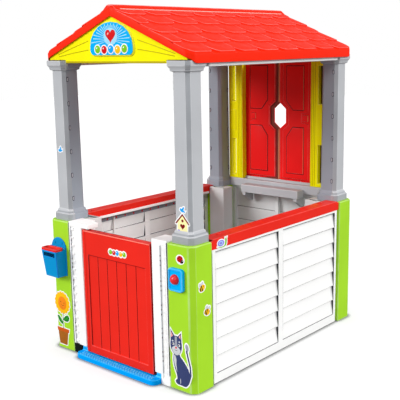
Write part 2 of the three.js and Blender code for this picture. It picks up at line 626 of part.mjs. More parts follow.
// Built for the gate side (-Y): a face plate with a rim behind it, open towards the room.
function gable(withBoss) {
  const slopeAt = (x, drop) => ROOF_BASE - ROOF.slope * x - drop;
  const outline = (inset) => {
    const half = GABLE.half - inset;
    const beam = GABLE.beamHalf - inset;
    const side = [
      [beam, GABLE.beam + inset], [beam, GABLE.foot + inset], [half, GABLE.foot + inset],
      [half, slopeAt(half, GABLE.drop + inset)],
    ];
    return [...side, [0, slopeAt(0, GABLE.drop + inset)], ...side.map(([x, z]) => [-x, z]).reverse()];
  };
  const front = -GABLE.front;
  const body = prism("y", outline(0), front, front + GABLE.depth)
    .subtract(prism("y", outline(WALL), front + WALL, front + GABLE.depth + 1));
  return withBoss ? body.add(prism("y", plaqueShape(4), front - PLAQUE.boss, front + 1)) : body;
}

function eaveBeam() {
  const outer = block(
    [EAVE_BEAM.inner, EAVE_BEAM.outer],
    [-EAVE_BEAM.halfLength, EAVE_BEAM.halfLength],
    [EAVE_BEAM.bottom, EAVE_BEAM.top],
  );
  const inside = block(
    [EAVE_BEAM.inner + WALL, EAVE_BEAM.outer - WALL],
    [-EAVE_BEAM.halfLength + WALL, EAVE_BEAM.halfLength - WALL],
    [EAVE_BEAM.bottom + WALL, EAVE_BEAM.top + 1],
  );
  return cut(outer, [inside]);
}

// ---- Mailbox and doorbell ----------------------------------------------------------------------

// A box that tapers downwards, its back on a flat plane: [halfWidth, front] at each level.
function taperedBox([lowHalf, lowFront], [highHalf, highFront], back, bottom, top) {
  const corners = [];
  for (const [half, front, z] of [[lowHalf, lowFront, bottom], [highHalf, highFront, top]]) {
    for (const [x, y] of [[-half, front], [half, front], [half, back], [-half, back]]) {
      corners.push(MAILBOX.x + x, y, z);
    }
  }
  const sides = [0, 1, 2, 3].flatMap((i) => {
    const j = (i + 1) % 4;
    return [i, j, j + 4, i, j + 4, i + 4];
  });
  const box = new THREE.BufferGeometry();
  box.setAttribute("position", new THREE.Float32BufferAttribute(corners, 3));
  box.setIndex([...sides, 0, 2, 1, 0, 3, 2, 4, 5, 6, 4, 6, 7]);
  return solid(box);
}

function screwAt(side) {
  return [MAILBOX.x + side * PLATE_SCREW.inset, MAILBOX.plateTop - PLATE_SCREW.inset];
}

function mailboxBody() {
  const plateFront = -MAILBOX_FRONT.plate;
  const plateBack = -HALF_DEPTH - GAP;
  const { halfTop, halfBottom, bottom, rim } = MAILBOX;
  const [topFront, bottomFront] = [-MAILBOX_FRONT.top, -MAILBOX_FRONT.bottom];
  const outer = taperedBox([halfBottom, bottomFront], [halfTop, topFront], plateFront + 1, bottom, rim);
  const inner = taperedBox(
    [halfBottom - WALL, bottomFront + WALL],
    [halfTop - WALL, topFront + WALL],
    plateFront - WALL,
    bottom + WALL,
    rim + 1,
  );
  const { x } = MAILBOX;
  const slotX = [x - LETTER_SLOT.half, x + LETTER_SLOT.half];
  const slot = block(slotX, [topFront - 5, topFront + 12], [LETTER_SLOT.bottom, LETTER_SLOT.top]);
  const plate = new THREE.Shape();
  plate.moveTo(x - halfTop, bottom);
  plate.lineTo(x + halfTop, bottom);
  plate.lineTo(x + halfTop, MAILBOX.plateTop - halfTop);
  plate.absarc(x, MAILBOX.plateTop - halfTop, halfTop, 0, Math.PI);
  const ears = [-1, 1].map((side) => {
    const across = [x + side * 38, x + side * 45].sort((a, b) => a - b);
    return block(across, [LID.axisY - 4.5, plateFront + 1], [rim - 8, LID.axisZ + 4.5]);
  });
  const pinHole = bar("x", [LID.axisY, LID.axisZ], 1.8 + GAP, x - 60, x + 60, 12);
  const screwHoles = [-1, 1].map((side) =>
    bar("y", screwAt(side), PLATE_SCREW.hole, plateFront - 2, plateBack + 1, 10));
  const body = joined([cut(outer, [inner, slot]), prism("y", plate, plateFront, plateBack), ...ears]);
  return cut(body, [pinHole, ...screwHoles]);
}

function mailboxLid() {
  const { x } = MAILBOX;
  const outline = roundedRectangle(x - LID.half, x + LID.half, -LID.front, LID.axisY - 7, 12);
  const slab = prism("z", outline, LID.bottom, LID.top);
  const rim = LID.half - 8;
  const dishOutline = roundedRectangle(x - rim, x + rim, -LID.front + 8, LID.axisY - 14, 7);
  const dish = prism("z", dishOutline, LID.top - 3, LID.top + 1);
  const web = block([x - 36, x + 36], [LID.axisY - 9, LID.axisY], [LID.axisZ - 3, LID.axisZ + 3]);
  const barrel = bar("x", [LID.axisY, LID.axisZ], LID.barrel, x - 37, x + 37, 16);
  const pinHole = bar("x", [LID.axisY, LID.axisZ], 1.8 + GAP, x - 60, x + 60, 12);
  return cut(joined([slab.subtract(dish), web, barrel]), [pinHole]);
}

function mailboxScrew(side) {
  const at = screwAt(side);
  const plate = -MAILBOX_FRONT.plate;
  const head = bar("y", at, PLATE_SCREW.head, plate - 2.3, plate - GAP, 12);
  return head.add(bar("y", at, PLATE_SCREW.shank, plate - 1, -HALF_DEPTH - 0.5, 10));
}

function bellPlate() {
  const [front, back] = [-BELL.front, -HALF_DEPTH - GAP];
  const face = roundedRectangle(BELL.left, BELL.right, BELL.bottom, BELL.top, 12);
  const at = [BUTTON.x, BUTTON.z];
  const lipHole = bar("y", at, BUTTON.radius + 0.5, front - 1, front + BELL.lip + 1, 24);
  const pocket = bar("y", at, BUTTON.flange + 0.5, front + BELL.lip, back + 1, 20);
  return cut(prism("y", face, front, back), [lipHole, pocket]);
}

// A domed push-button turned about its own axis, with a flange held behind the plate's lip.
function bellButton() {
  const lip = -BELL.front + BELL.lip + GAP;
  const flangeBack = 1.8;
  const stem = BELL.lip + GAP + 1;
  const profile = [new THREE.Vector2(0, -flangeBack), new THREE.Vector2(BUTTON.flange, -flangeBack)];
  profile.push(new THREE.Vector2(BUTTON.flange, 0), new THREE.Vector2(BUTTON.radius, 0));
  for (let i = 0; i <= 4; i++) {
    const turn = (i / 4) * (Math.PI / 2);
    profile.push(new THREE.Vector2(BUTTON.radius * Math.cos(turn), stem + BUTTON.dome * Math.sin(turn)));
  }
  profile[profile.length - 1].x = 0;
  const turned = new THREE.LatheGeometry(profile, 24);
  turned.rotateX(Math.PI);
  turned.translate(BUTTON.x, lip, BUTTON.z);
  return solid(turned);
}

// A light compression spring between the button and the post.
function bellSpring() {
  const [front, back] = [-BELL.front + BELL.lip + GAP + 1.8 + GAP, -HALF_DEPTH - GAP];
  const [wire, coil, turns] = [0.55, 9, 3];
  const steps = 27;
  const points = [];
  for (let i = 0; i <= steps; i++) {
    const turn = (i / steps) * turns * 2 * Math.PI;
    const along = front + wire + (back - front - 2 * wire) * (i / steps);
    const [x, z] = [BUTTON.x + coil * Math.cos(turn), BUTTON.z + coil * Math.sin(turn)];
    points.push(new THREE.Vector3(x, along, z));
  }
  const section = new THREE.Shape();
  section.absarc(0, 0, wire, 0, 2 * Math.PI);
  const extrudePath = new THREE.CatmullRomCurve3(points);
  const settings = { steps, extrudePath, bevelEnabled: false, curveSegments: 3 };
  return solid(new THREE.ExtrudeGeometry(section, settings));
}

// ---- Assembly ------------------------------------------------------------------------------------

const house = new THREE.Group();
house.position.y = (LID.front - HALF_DEPTH) / 2; // centres the outer box on the origin

const corners = [
  ["front", "left", -1, -1],
  ["front", "right", 1, -1],
  ["back", "left", -1, 1],
  ["back", "right", 1, 1],
];
const column = columnHalves();
for (const [end, side, sx, sy] of corners) {
  const corner = new THREE.Group();
  corner.scale.set(sx, sy, 1);
  house.add(corner);
  piece(corner, `corner_post_${end}_${side}`, cornerPost(), lime);
  piece(corner, `corner_liner_${end}_${side}`, cornerLiner(), white);
  piece(corner, `column_outer_${end}_${side}`, column.outer, grey);
  piece(corner, `column_inner_${end}_${side}`, column.inner, grey);
}

for (const [side, sx] of [["left", -1], ["right", 1]]) {
  const half = new THREE.Group();
  half.scale.set(sx, 1, 1);
  house.add(half);
  piece(half, `side_panel_${side}`, sidePanel(), white);
  piece(half, `side_rail_${side}`, sideRail(), red);
  piece(half, `rail_peg_front_${side}`, railPeg(-1), red);
  piece(half, `rail_peg_back_${side}`, railPeg(1), red);
  piece(half, `jamb_${side}`, jamb(sx < 0), white);
  piece(half, `window_frame_${side}`, windowFrame(), yellow);
  piece(half, `shutter_${side}`, shutter(), red);
  piece(half, `shutter_pin_top_${side}`, shutterPin(true), steel);
  piece(half, `shutter_pin_bottom_${side}`, shutterPin(false), steel);
  piece(half, `roof_${side}`, roofSlope(), roofRed);
  piece(half, `eave_beam_${side}`, eaveBeam(), grey);
}

const gate = gateShells();
piece(house, "gate_front_shell", gate.front, red);
piece(house, "gate_back_shell", gate.back, red);
piece(house, "gate_pin_top", gatePin(true), steel);
piece(house, "gate_pin_bottom", gatePin(false), steel);
piece(house, "threshold_step", thresholdStep(), skyBlue);

piece(house, "back_panel", backPanel(), white);
piece(house, "back_sill", backSill(), grey);
piece(house, "shelf", shelf(), grey);
piece(house, "shelf_bracket_left", shelfBracket(-1), grey);
piece(house, "shelf_bracket_right", shelfBracket(1), grey);

piece(house, "ridge_cap", ridgeCap(), roofRed);
piece(house, "gable_front", gable(true), yellow);
const rear = new THREE.Group();
rear.scale.set(1, -1, 1);
house.add(rear);
piece(rear, "gable_back", gable(false), yellow);
const plaqueBack = -GABLE.front - PLAQUE.boss - GAP;
piece(house, "gable_plaque", prism("y", plaqueShape(0), plaqueBack - PLAQUE.thick, plaqueBack), skyBlue);

piece(house, "mailbox_body", mailboxBody(), blue);
piece(house, "mailbox_lid", mailboxLid(), red);
const lidPin = bar("x", [LID.axisY, LID.axisZ], 1.8, MAILBOX.x - 45, MAILBOX.x + 45, 12);
piece(house, "mailbox_hinge_pin", lidPin, steel);
piece(house, "mailbox_screw_left", mailboxScrew(-1), steel);
piece(house, "mailbox_screw_right", mailboxScrew(1), steel);

piece(house, "doorbell_plate", bellPlate(), skyBlue);
piece(house, "doorbell_button", bellButton(), red);
piece(house, "doorbell_spring", bellSpring(), steel);

const part = new THREE.Group();
part.add(house);
export default part;
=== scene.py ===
"""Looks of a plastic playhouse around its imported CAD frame: moulded shells with rounded edges, a
tiled roof, stickers and the studio. Metres, +Z up, the gate side faces -Y. Outlines of stickers and
reliefs are in millimetres."""

import json
import math

import bmesh
import bpy
from mathutils import Matrix, Vector
from mathutils.bvhtree import BVHTree


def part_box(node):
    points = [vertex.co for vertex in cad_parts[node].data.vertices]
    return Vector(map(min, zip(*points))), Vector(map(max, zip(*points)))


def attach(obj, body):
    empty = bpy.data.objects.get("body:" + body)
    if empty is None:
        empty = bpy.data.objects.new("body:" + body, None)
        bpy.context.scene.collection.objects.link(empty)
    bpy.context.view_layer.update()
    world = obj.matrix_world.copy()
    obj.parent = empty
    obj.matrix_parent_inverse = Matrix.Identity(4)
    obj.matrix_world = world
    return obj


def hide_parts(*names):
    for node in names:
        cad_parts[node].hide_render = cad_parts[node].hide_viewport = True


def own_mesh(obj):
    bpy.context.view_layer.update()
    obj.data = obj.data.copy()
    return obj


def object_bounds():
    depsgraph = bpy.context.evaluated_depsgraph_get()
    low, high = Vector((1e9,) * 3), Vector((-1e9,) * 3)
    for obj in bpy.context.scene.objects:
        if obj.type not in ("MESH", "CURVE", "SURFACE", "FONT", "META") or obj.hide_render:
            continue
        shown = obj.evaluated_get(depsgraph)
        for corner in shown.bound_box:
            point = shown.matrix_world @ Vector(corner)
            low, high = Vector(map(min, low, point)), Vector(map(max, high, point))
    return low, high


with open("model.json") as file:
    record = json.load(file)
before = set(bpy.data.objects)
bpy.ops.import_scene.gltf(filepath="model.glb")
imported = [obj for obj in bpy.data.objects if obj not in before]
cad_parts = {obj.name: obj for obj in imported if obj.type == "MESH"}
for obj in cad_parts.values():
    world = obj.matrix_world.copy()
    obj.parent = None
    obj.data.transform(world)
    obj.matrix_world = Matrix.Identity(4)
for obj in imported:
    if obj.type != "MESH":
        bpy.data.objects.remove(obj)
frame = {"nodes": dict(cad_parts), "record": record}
CAD_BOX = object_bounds()

MM = 0.001
BEHAVIOUR = frame["record"]["behaviour"]
BODY_OF = {node: body for body, nodes in BEHAVIOUR["bodies"].items() for node in nodes}
SIDES = (("right", 1), ("left", -1))  # each with its sign of x

# ---- Materials -----------------------------------------------------------------------------


def srgb(rgb):
    """A display colour, 0 to 255, as the linear colour that Blender's sockets take."""
    channels = [value / 255 for value in rgb]
    linear = [c / 12.92 if c <= 0.04045 else ((c + 0.055) / 1.055) ** 2.4 for c in channels]
    return (*linear, 1.0)


def fill(tree, node, inputs):
    """Sets a node's inputs, by name or number, to plain values or joins them to sockets."""
    for name, value in inputs.items():
        if isinstance(value, bpy.types.NodeSocket):
            tree.links.new(value, node.inputs[name])
        else:
            node.inputs[name].default_value = value


def added(tree, kind, output, inputs, **settings):
    """Adds a node of a kind and returns its output."""
    node = tree.nodes.new("ShaderNode" + kind)
    for name, value in settings.items():
        setattr(node, name, value)
    fill(tree, node, inputs)
    return node.outputs[output]


def mixed(tree, share, first, second):
    """A colour between two, each a socket or a plain colour."""
    colours = {0: share, 6: first, 7: second}
    return added(tree, "Mix", 2, colours, data_type="RGBA", blend_type="MIX")


def noise(tree, where, scale, detail=2.0, roughness=0.5):
    inputs = {"Scale": scale, "Detail": detail, "Roughness": roughness, "Vector": where}
    return added(tree, "TexNoise", "Fac", inputs)


def ranged(tree, value, low, high, to_low, to_high):
    limits = {"From Min": low, "From Max": high, "To Min": to_low, "To Max": to_high}
    return added(tree, "MapRange", "Result", {**limits, "Value": value})


PURE_WHITE = (1.0, 1.0, 1.0, 1.0)
CLOUDS, RUBS, GLOSS, GRAIN = 6.0, 24.0, 38.0, 1500.0  # noise scales, in spots to the metre


def plastic(name, rgb, roughness=0.34, grain=0.10, mottle=0.03, metallic=0.0, wear=0.0, shine=0.08):
    """Moulded plastic: a cloudy tint, uneven gloss and a fine moulded grain. The wear and highlight
    setting lightens it towards white, more in some places than in others; on edges and beads it
    stands for wear and paints a highlight."""
    colour = srgb(rgb)
    material = bpy.data.materials.new(name)
    material.use_nodes = True
    tree = material.node_tree
    where = added(tree, "TexCoord", "Object", {})
    cloud = ranged(tree, noise(tree, where, CLOUDS, 3.0), 0.35, 0.65, 0.0, 1.0)
    darker = (*(channel * (1 - 2 * mottle) for channel in colour[:3]), 1.0)
    tint = mixed(tree, cloud, darker, colour)
    if wear:
        edge_rub_and_painted_light = ranged(tree, noise(tree, where, RUBS, 3.0), 0.35, 0.65, 0.4 * wear, wear)
        tint = mixed(tree, edge_rub_and_painted_light, tint, PURE_WHITE)
    gloss = noise(tree, where, GLOSS, 4.0, 0.6)
    gloss = ranged(tree, gloss, 0.3, 0.7, roughness - 0.05, roughness + 0.08)
    height = noise(tree, where, GRAIN)
    bump = {"Strength": grain, "Distance": 0.3 * MM, "Height": height}
    look = {
        "Metallic": metallic,
        "IOR": 1.48,
        "Specular IOR Level": shine,
        "Base Color": tint,
        "Roughness": gloss,
        "Normal": added(tree, "Bump", "Normal", bump),
    }
    fill(tree, tree.nodes["Principled BSDF"], look)
    return material


SLOT_OF, EDGE_RUB_AND_PAINTED_LIGHT_OF, PAINTED_SHADE_OF = {}, {}, {}  # by a material's name


def moulded(name, rgb, slot=None, edge_rub_and_painted_light=0.0, edge=None, edge_roughness=0.38, shade=None, **finish):
    """A plastic of the house and its slot. It may get an edge twin in its own tint, lightened
    towards white, which stands for wear and paints a highlight on edges, and a darker twin in a
    shade colour, which paints shade in grooves, under ledges and on faces turned from the light."""
    material = plastic(name + "_look", rgb, **finish)
    SLOT_OF[material.name] = slot or name
    if edge_rub_and_painted_light:
        EDGE_RUB_AND_PAINTED_LIGHT_OF[material.name] = plastic(name + "_edge", edge or rgb, edge_roughness, wear=edge_rub_and_painted_light)
    if shade:
        PAINTED_SHADE_OF[material.name] = plastic(name + "_shade", shade, 0.5, mottle=0.08)
    return material


# Edge twins lighten the rounded edges towards white: wear, and a painted highlight.
LIME = moulded("lime_plastic", (168, 222, 46), edge_rub_and_painted_light=0.18)
# A shade colour gives a plastic a darker twin: painted shade on the faces that a mask picks.
GREY = moulded("grey_plastic", (188, 190, 194), roughness=0.42, edge_rub_and_painted_light=0.22, shade=(170, 173, 178))
# A darker grey that paints shade: on the columns' inner halves, which face into the house, and in
# lines on the jambs and under the rails.
SHADE_GREY = moulded("shade_grey_plastic", (158, 165, 175), "grey_plastic", roughness=0.45)
WHITE = moulded("white_plastic", (250, 250, 249), roughness=0.4, mottle=0.01, shade=(66, 68, 74))
LINER = moulded(
    "liner_plastic", (220, 221, 221), "white_plastic",
    roughness=0.45, mottle=0.02, shade=(120, 118, 116),
)
GATE_RED = moulded("gate_red_plastic", (236, 42, 30), edge_rub_and_painted_light=0.10, shade=(150, 6, 8))
ROOF_RED = moulded("roof_red_plastic", (255, 40, 8), roughness=0.36, edge_rub_and_painted_light=0.24)
SHUTTER_RED = moulded("shutter_red_plastic", (244, 30, 30), edge_rub_and_painted_light=0.14, shade=(132, 62, 52))
YELLOW = moulded("yellow_plastic", (255, 248, 0), edge_rub_and_painted_light=0.10)
# The blues have edge tints of their own: paler on the sky and step blues, a painted highlight, and
# deeper on the mailbox, a painted shade.
SKY = moulded(
    "sky_plastic", (0, 180, 250), "sky_blue_plastic", shine=0.04, edge_rub_and_painted_light=0.15, edge=(40, 190, 252)
)
STEP_BLUE = moulded(
    "step_plastic", (0, 164, 255), "sky_blue_plastic", roughness=0.5, shine=0.02,
    edge_rub_and_painted_light=0.06, edge=(30, 190, 255), edge_roughness=0.5,
)
MAIL_BLUE = moulded(
    "mailbox_plastic", (0, 150, 214), "mailbox_blue_plastic", edge_rub_and_painted_light=0.02, edge=(0, 128, 232)
)
STEEL = moulded("steel", (196, 198, 202), roughness=0.3, grain=0.2, metallic=1.0)
PAINTED_STEEL = moulded("painted_steel", (0, 148, 212), "steel", roughness=0.4, grain=0.2)
# A dark purple grey for seams, notches and the wells round the column tabs: painted shade in gaps
# and holes.
PAINTED_GAP_SHADE = moulded("gap_shade", (58, 52, 70), "grey_plastic", roughness=0.7)
# Darker yellows that paint shade: in the gable's lines and the strip along its foot, and in the
# window frames' flutes.
GABLE_SHADE_LINE = moulded("gable_shade_line", (190, 172, 0), "yellow_plastic")
FLUTE_SHADE = moulded("flute_shade_line", (150, 132, 0), "yellow_plastic")
# A pale pink for the bead along the ridge cap: a painted highlight.
HIGHLIGHT = moulded("ridge_highlight_bead", (255, 172, 160), "roof_red_plastic", roughness=0.3, wear=0.2)
# Pale orange for edges of the leaves, a painted highlight; dark red for rims and lines round their
# panels, painted shade.
LEAF_HIGHLIGHT = moulded("leaf_highlight_edge", (240, 158, 112), "shutter_red_plastic", roughness=0.4)
LEAF_SHADE_LINE = moulded("leaf_shade_line", (96, 0, 4), "shutter_red_plastic", roughness=0.5)
# A dark yellow-brown for the sheets behind the right frame's slots: painted shade.
SLOT_SHADE = moulded("slot_painted_shade", (92, 84, 20), "yellow_plastic", roughness=0.6)
# A paler blue for the step's bumps: a painted highlight.
BUMP_HIGHLIGHT_BLUE = moulded("step_bump_highlight", (104, 206, 255), "sky_blue_plastic", roughness=0.3)
BUTTON_RED = moulded("button_red", (232, 26, 36), "gate_red_plastic", roughness=0.24, shine=0.6)
# Lines on the gate: a dark red one, painted shade, and a pale pink one, a painted highlight.
GATE_SHADE_LINE = moulded("gate_shade_line", (160, 14, 16), "gate_red_plastic", roughness=0.5)
GATE_HIGHLIGHT = moulded("gate_highlight_tint", (255, 164, 146), "gate_red_plastic", roughness=0.4)
# A near-black for the pad under the hinge-side jamb: painted shade.
PAD_SHADE = moulded("jamb_pad_shade", (14, 22, 20), "grey_plastic", roughness=0.8)

# Printed vinyl: smooth and a little glossier than the plastic under it.
INK_COLOURS = {
    "paper": (250, 250, 250), "black": (24, 24, 30), "red": (220, 24, 30), "maroon": (128, 24, 28),
    "navy": (58, 68, 112), "slate": (158, 162, 176), "silver": (206, 208, 214),
    "pink": (246, 176, 176), "gold": (255, 194, 20), "cream": (255, 244, 176),
    "orange": (248, 140, 30), "brown": (166, 98, 30), "rust": (206, 92, 26), "lime": (130, 200, 30),
    "green": (72, 176, 44), "leaf": (30, 130, 40), "sky": (20, 168, 246), "pale": (168, 226, 252),
    "violet": (150, 132, 232),
}
INK = {
    name: plastic(f"ink_{name}", rgb, roughness=0.28, grain=0.03)
    for name, rgb in INK_COLOURS.items()
}

# ---- Mesh helpers --------------------------------------------------------------------------

CREASE = math.radians(33)  # a sharper fold than this is an edge, a softer one a curve
WELD = 0.02 * MM  # points closer than this are one
FLAT = math.radians(0.6)  # faces that meet flatter than this are one
SEAM_ROUND = 0.45 * MM  # how far the edges of a seam are rounded
EDGE_SHARE, FACE_SHARE = 0.34, 0.4  # of the edges and faces next to it that rounding may take


def shade_smooth(mesh):
    """Smooth shading across curves, with the edges kept."""
    mesh.polygons.foreach_set("use_smooth", [True] * len(mesh.polygons))
    mesh.set_sharp_from_angle(angle=CREASE)


def placed(thing, body, replaces=()):
    bpy.context.scene.collection.objects.link(thing)
    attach(thing, body)
    if replaces:
        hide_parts(*replaces)
    return thing


def piece(name, shells, body="house", replaces=()):
    """One object made of closed shells, each (points, faces, the material of each face)."""
    materials = []
    mesh = bpy.data.meshes.new(name)
    points, faces, looks = [], [], []
    for shell_points, shell_faces, shell_looks in shells:
        for material in shell_looks:
            if material not in materials:
                materials.append(material)
        first = len(points)
        points += shell_points
        faces += [[first + corner for corner in face] for face in shell_faces]
        looks += [materials.index(material) for material in shell_looks]
    mesh.from_pydata(points, [], faces)
    for material in materials:
        mesh.materials.append(material)
    mesh.polygons.foreach_set("material_index", looks)
    work = bmesh.new()
    work.from_mesh(mesh)
    bmesh.ops.recalc_face_normals(work, faces=work.faces)
    work.to_mesh(mesh)
    work.free()
    shade_smooth(mesh)
    return placed(bpy.data.objects.new(name, mesh), body, replaces)


def edge_room(edge):
    """How wide an edge may be rounded before it meets what lies next to it."""
    length = edge.calc_length()
    near = [other.calc_length() for end in edge.verts for other in end.link_edges if other != edge]
    across = min(face.calc_area() / max(1e-9, length) for face in edge.link_faces)
    return min(EDGE_SHARE * min(near + [3 * length]), FACE_SHARE * across)


def softened(node, material, radius, fine=None, far_x=1.0, shaded=None):
    """Replaces a CAD node by the same shape with its flat faces merged and its edges rounded by up
    to radius millimetres, less where an edge has little room. fine(a, b) picks seam edges, kept
    nearly sharp, far_x is how far from the middle the piece may reach, which leaves stickers room,
    and shaded(centre, normal) picks the faces that take the material's darker twin, a painted
    shade."""
    width = radius * MM
    mesh = frame["nodes"][node].data.copy()
    mesh.name = node + "_look"
    mesh.materials.clear()
    mesh.materials.append(material)
    if material.name in EDGE_RUB_AND_PAINTED_LIGHT_OF:
        mesh.materials.append(EDGE_RUB_AND_PAINTED_LIGHT_OF[material.name])
    work = bmesh.new()
    work.from_mesh(mesh)
    bmesh.ops.remove_doubles(work, verts=work.verts, dist=WELD)
    bmesh.ops.dissolve_limit(work, angle_limit=FLAT, verts=work.verts, edges=work.edges)
    weights = work.edges.layers.float.new("bevel_weight_edge")
    for edge in work.edges:
        if len(edge.link_faces) != 2 or edge.calc_face_angle(0) < CREASE:
            continue
        room = edge_room(edge)
        if fine and fine(edge.verts[0].co, edge.verts[1].co):
            room = min(room, SEAM_ROUND)
        edge[weights] = min(1.0, room / width)
    many_sided = [face for face in work.faces if len(face.verts) > 4]
    bmesh.ops.triangulate(work, faces=many_sided, quad_method="BEAUTY", ngon_method="BEAUTY")
    work.to_mesh(mesh)
    work.free()
    shade_smooth(mesh)
    thing = bpy.data.objects.new(node + "_look", mesh)
    placed(thing, BODY_OF[node], (node,))
    bevel = thing.modifiers.new("rounded edges", "BEVEL")
    bevel.limit_method = "WEIGHT"
    bevel.width = width
    bevel.segments = 3
    bevel.use_clamp_overlap = False
    bevel.loop_slide = False
    # Rounded edges take the edge twin: wear, and a painted highlight.
    bevel.material = 1 if material.name in EDGE_RUB_AND_PAINTED_LIGHT_OF else -1
    flat = thing.modifiers.new("flat faces", "WEIGHTED_NORMAL")
    flat.keep_sharp = True
    whole = thing.evaluated_get(bpy.context.evaluated_depsgraph_get())
    thing.data = bpy.data.meshes.new_from_object(whole)
    thing.modifiers.clear()
    low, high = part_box(node)
    for vertex in thing.data.vertices:
        for axis in range(3):
            vertex.co[axis] = min(max(vertex.co[axis], low[axis]), high[axis])
        if abs(vertex.co.x) > far_x:
            vertex.co.x = math.copysign(far_x, vertex.co.x)
    if shaded:
        thing.data.materials.append(PAINTED_SHADE_OF[material.name])
        for face in thing.data.polygons:
            if shaded(face.center, face.normal):
                face.material_index = len(thing.data.materials) - 1
    return thing


def area(outline):
    return 0.5 * sum(a[0] * b[1] - b[0] * a[1] for a, b in zip(outline, outline[1:] + outline[:1]))


def metres(outline):
    """An outline given in millimetres, in metres and counter-clockwise."""
    outline = [(u * MM, v * MM) for u, v in outline]
    return outline[::-1] if area(outline) < 0 else outline


def inset(outline, distance):
    """The closed outline moved inwards by a distance, corner by corner."""
    moved = []
    turn = 1 if area(outline) > 0 else -1
    count = len(outline)
    for i in range(count):
        before, here, after = (Vector(outline[(i + k) % count]) for k in (-1, 0, 1))
        first, second = (here - before).normalized(), (after - here).normalized()
        normal = Vector((-first.y - second.y, first.x + second.x))
        if normal.length < 1e-6:
            normal = Vector((-first.y, first.x))
        normal.normalize()
        lean = max(0.5, abs(normal.dot(Vector((-first.y, first.x)))))
        moved.append(tuple(here + turn * normal * distance / lean))
    return moved


def rings(loops, closed=False):
    """Faces that join closed loops of equal length. The first and the last loop are capped, or
    joined to each other if closed."""
    count = len(loops[0])
    points = [point for loop in loops for point in loop]
    caps = [list(range(count))[::-1], [len(points) - count + i for i in range(count)]]
    faces = [] if closed else caps
    for level in range(len(loops) if closed else len(loops) - 1):
        up = count if level < len(loops) - 1 else count - len(points)
        for i in range(count):
            a, b = level * count + i, level * count + (i + 1) % count
            faces.append([a, b, b + up, a + up])
    return points, faces


def with_rim(points, faces, material, rim):
    """A shell whose faces take the material, or on its rim the material's edge twin, which stands
    for wear and paints a highlight.
    """
    edge = EDGE_RUB_AND_PAINTED_LIGHT_OF.get(material.name, material)
    return points, faces, [edge if i in rim else material for i in range(len(faces))]


def plate(outline, place, thick, rim, material, foot=0.0, floor=None):
    """A closed plate with a rounded rim. place(u, v, rise) gives the point at a height over the
    face; the plate reaches foot under it, or down to floor(u, v)."""
    floor = floor or (lambda u, v: place(u, v, -foot))
    loops = [[floor(u, v) for u, v in outline]]
    for step in range(4):
        turn = math.pi / 2 * step / 3
        drop, into = rim * (1 - math.sin(turn)), rim * (1 - math.cos(turn))
        loops.append([place(u, v, thick - drop) for u, v in inset(outline, into)])
    points, faces = rings(loops)
    return with_rim(points, faces, material, range(2 + len(outline), len(faces)))


def hoop(outline, width, place, height, rim, material):
    """A raised closed band that follows an outline on its inside."""
    foot, chamfer = -0.2 * MM, 0.3 * rim
    section = (
        (0, foot), (0, height - rim), (chamfer, height - chamfer), (rim, height),
        (width - rim, height), (width - chamfer, height - chamfer), (width, height - rim),
        (width, foot),
    )
    loops = [[place(u, v, rise) for u, v in inset(outline, into)] for into, rise in section]
    count = len(outline)
    slopes = {*range(count, 3 * count), *range(4 * count, 6 * count)}
    return with_rim(*rings(loops, closed=True), material, slopes)


def turned(outline, turn, u=0.0, v=0.0):
    """The outline turned about its origin, which then moves to u, v."""
    c, s = math.cos(turn), math.sin(turn)
    return [(u + a * c - b * s, v + a * s + b * c) for a, b in outline]


def ellipse(u, v, half_u, half_v=None, turn=0.0, sides=28):
    half_v = half_v or half_u
    steps = [2 * math.pi * i / sides for i in range(sides)]
    return turned([(half_u * math.cos(t), half_v * math.sin(t)) for t in steps], turn, u, v)


def rounded(u0, u1, v0, v1, radius, steps=2):
    """A rectangle with rounded corners."""
    outline = []
    for quarter, (u, v) in enumerate(((u1, v1), (u0, v1), (u0, v0), (u1, v0))):
        cu = u - radius * (1 if u == u1 else -1)
        cv = v - radius * (1 if v == v1 else -1)
        for i in range(steps + 1):
            turn = math.pi / 2 * (quarter + i / steps)
            outline.append((cu + radius * math.cos(turn), cv + radius * math.sin(turn)))
    return outline


def smooth_loop(*points, steps=5):
    """A closed curve through the points."""
    outline = []
    count = len(points)
    for i in range(count):
        p = [Vector(points[(i + k) % count]) for k in (-1, 0, 1, 2)]
        for step in range(steps):
            t = step / steps
            q = (
                2 * p[1]
                + (p[2] - p[0]) * t
                + (2 * p[0] - 5 * p[1] + 4 * p[2] - p[3]) * t * t
                + (3 * p[1] - p[0] - 3 * p[2] + p[3]) * t**3
            ) / 2
            outline.append(tuple(q))
    return outline


def clipped(outline, low_u, high_u, low_v, high_v):
    """The part of a convex outline inside a rectangle."""
    for axis, limit, keep in ((0, low_u, 1), (0, high_u, -1), (1, low_v, 1), (1, high_v, -1)):
        rest = []
        for a, b in zip(outline, outline[1:] + outline[:1]):
            inside_a, inside_b = (keep * (p[axis] - limit) >= 0 for p in (a, b))
            if inside_a:
                rest.append(a)
            if inside_a != inside_b:
                t = (limit - a[axis]) / (b[axis] - a[axis])
                rest.append(tuple(a[k] + t * (b[k] - a[k]) for k in (0, 1)))
        outline = rest
        if len(outline) < 3:
            return []
    return outline


def facing(axis, level, way, across=0.0, up=0.0):
    """Places (u, v, rise) on a flat face at a level along an axis. It rises the way that the sign
    says, and u and v run along the other two axes, from across and up."""

    def place(u, v, rise):
        point = [across + u, up + v]
        point.insert(axis, level + way * rise)
        return tuple(point)

    return place


def surface(node, at, towards):
    """The point of a CAD node that a ray from a point meets."""
    mesh = frame["nodes"][node].data
    tree = BVHTree.FromPolygons(
        [vertex.co for vertex in mesh.vertices], [list(face.vertices) for face in mesh.polygons]
    )
    return tree.ray_cast(Vector(at), Vector(towards))[0]


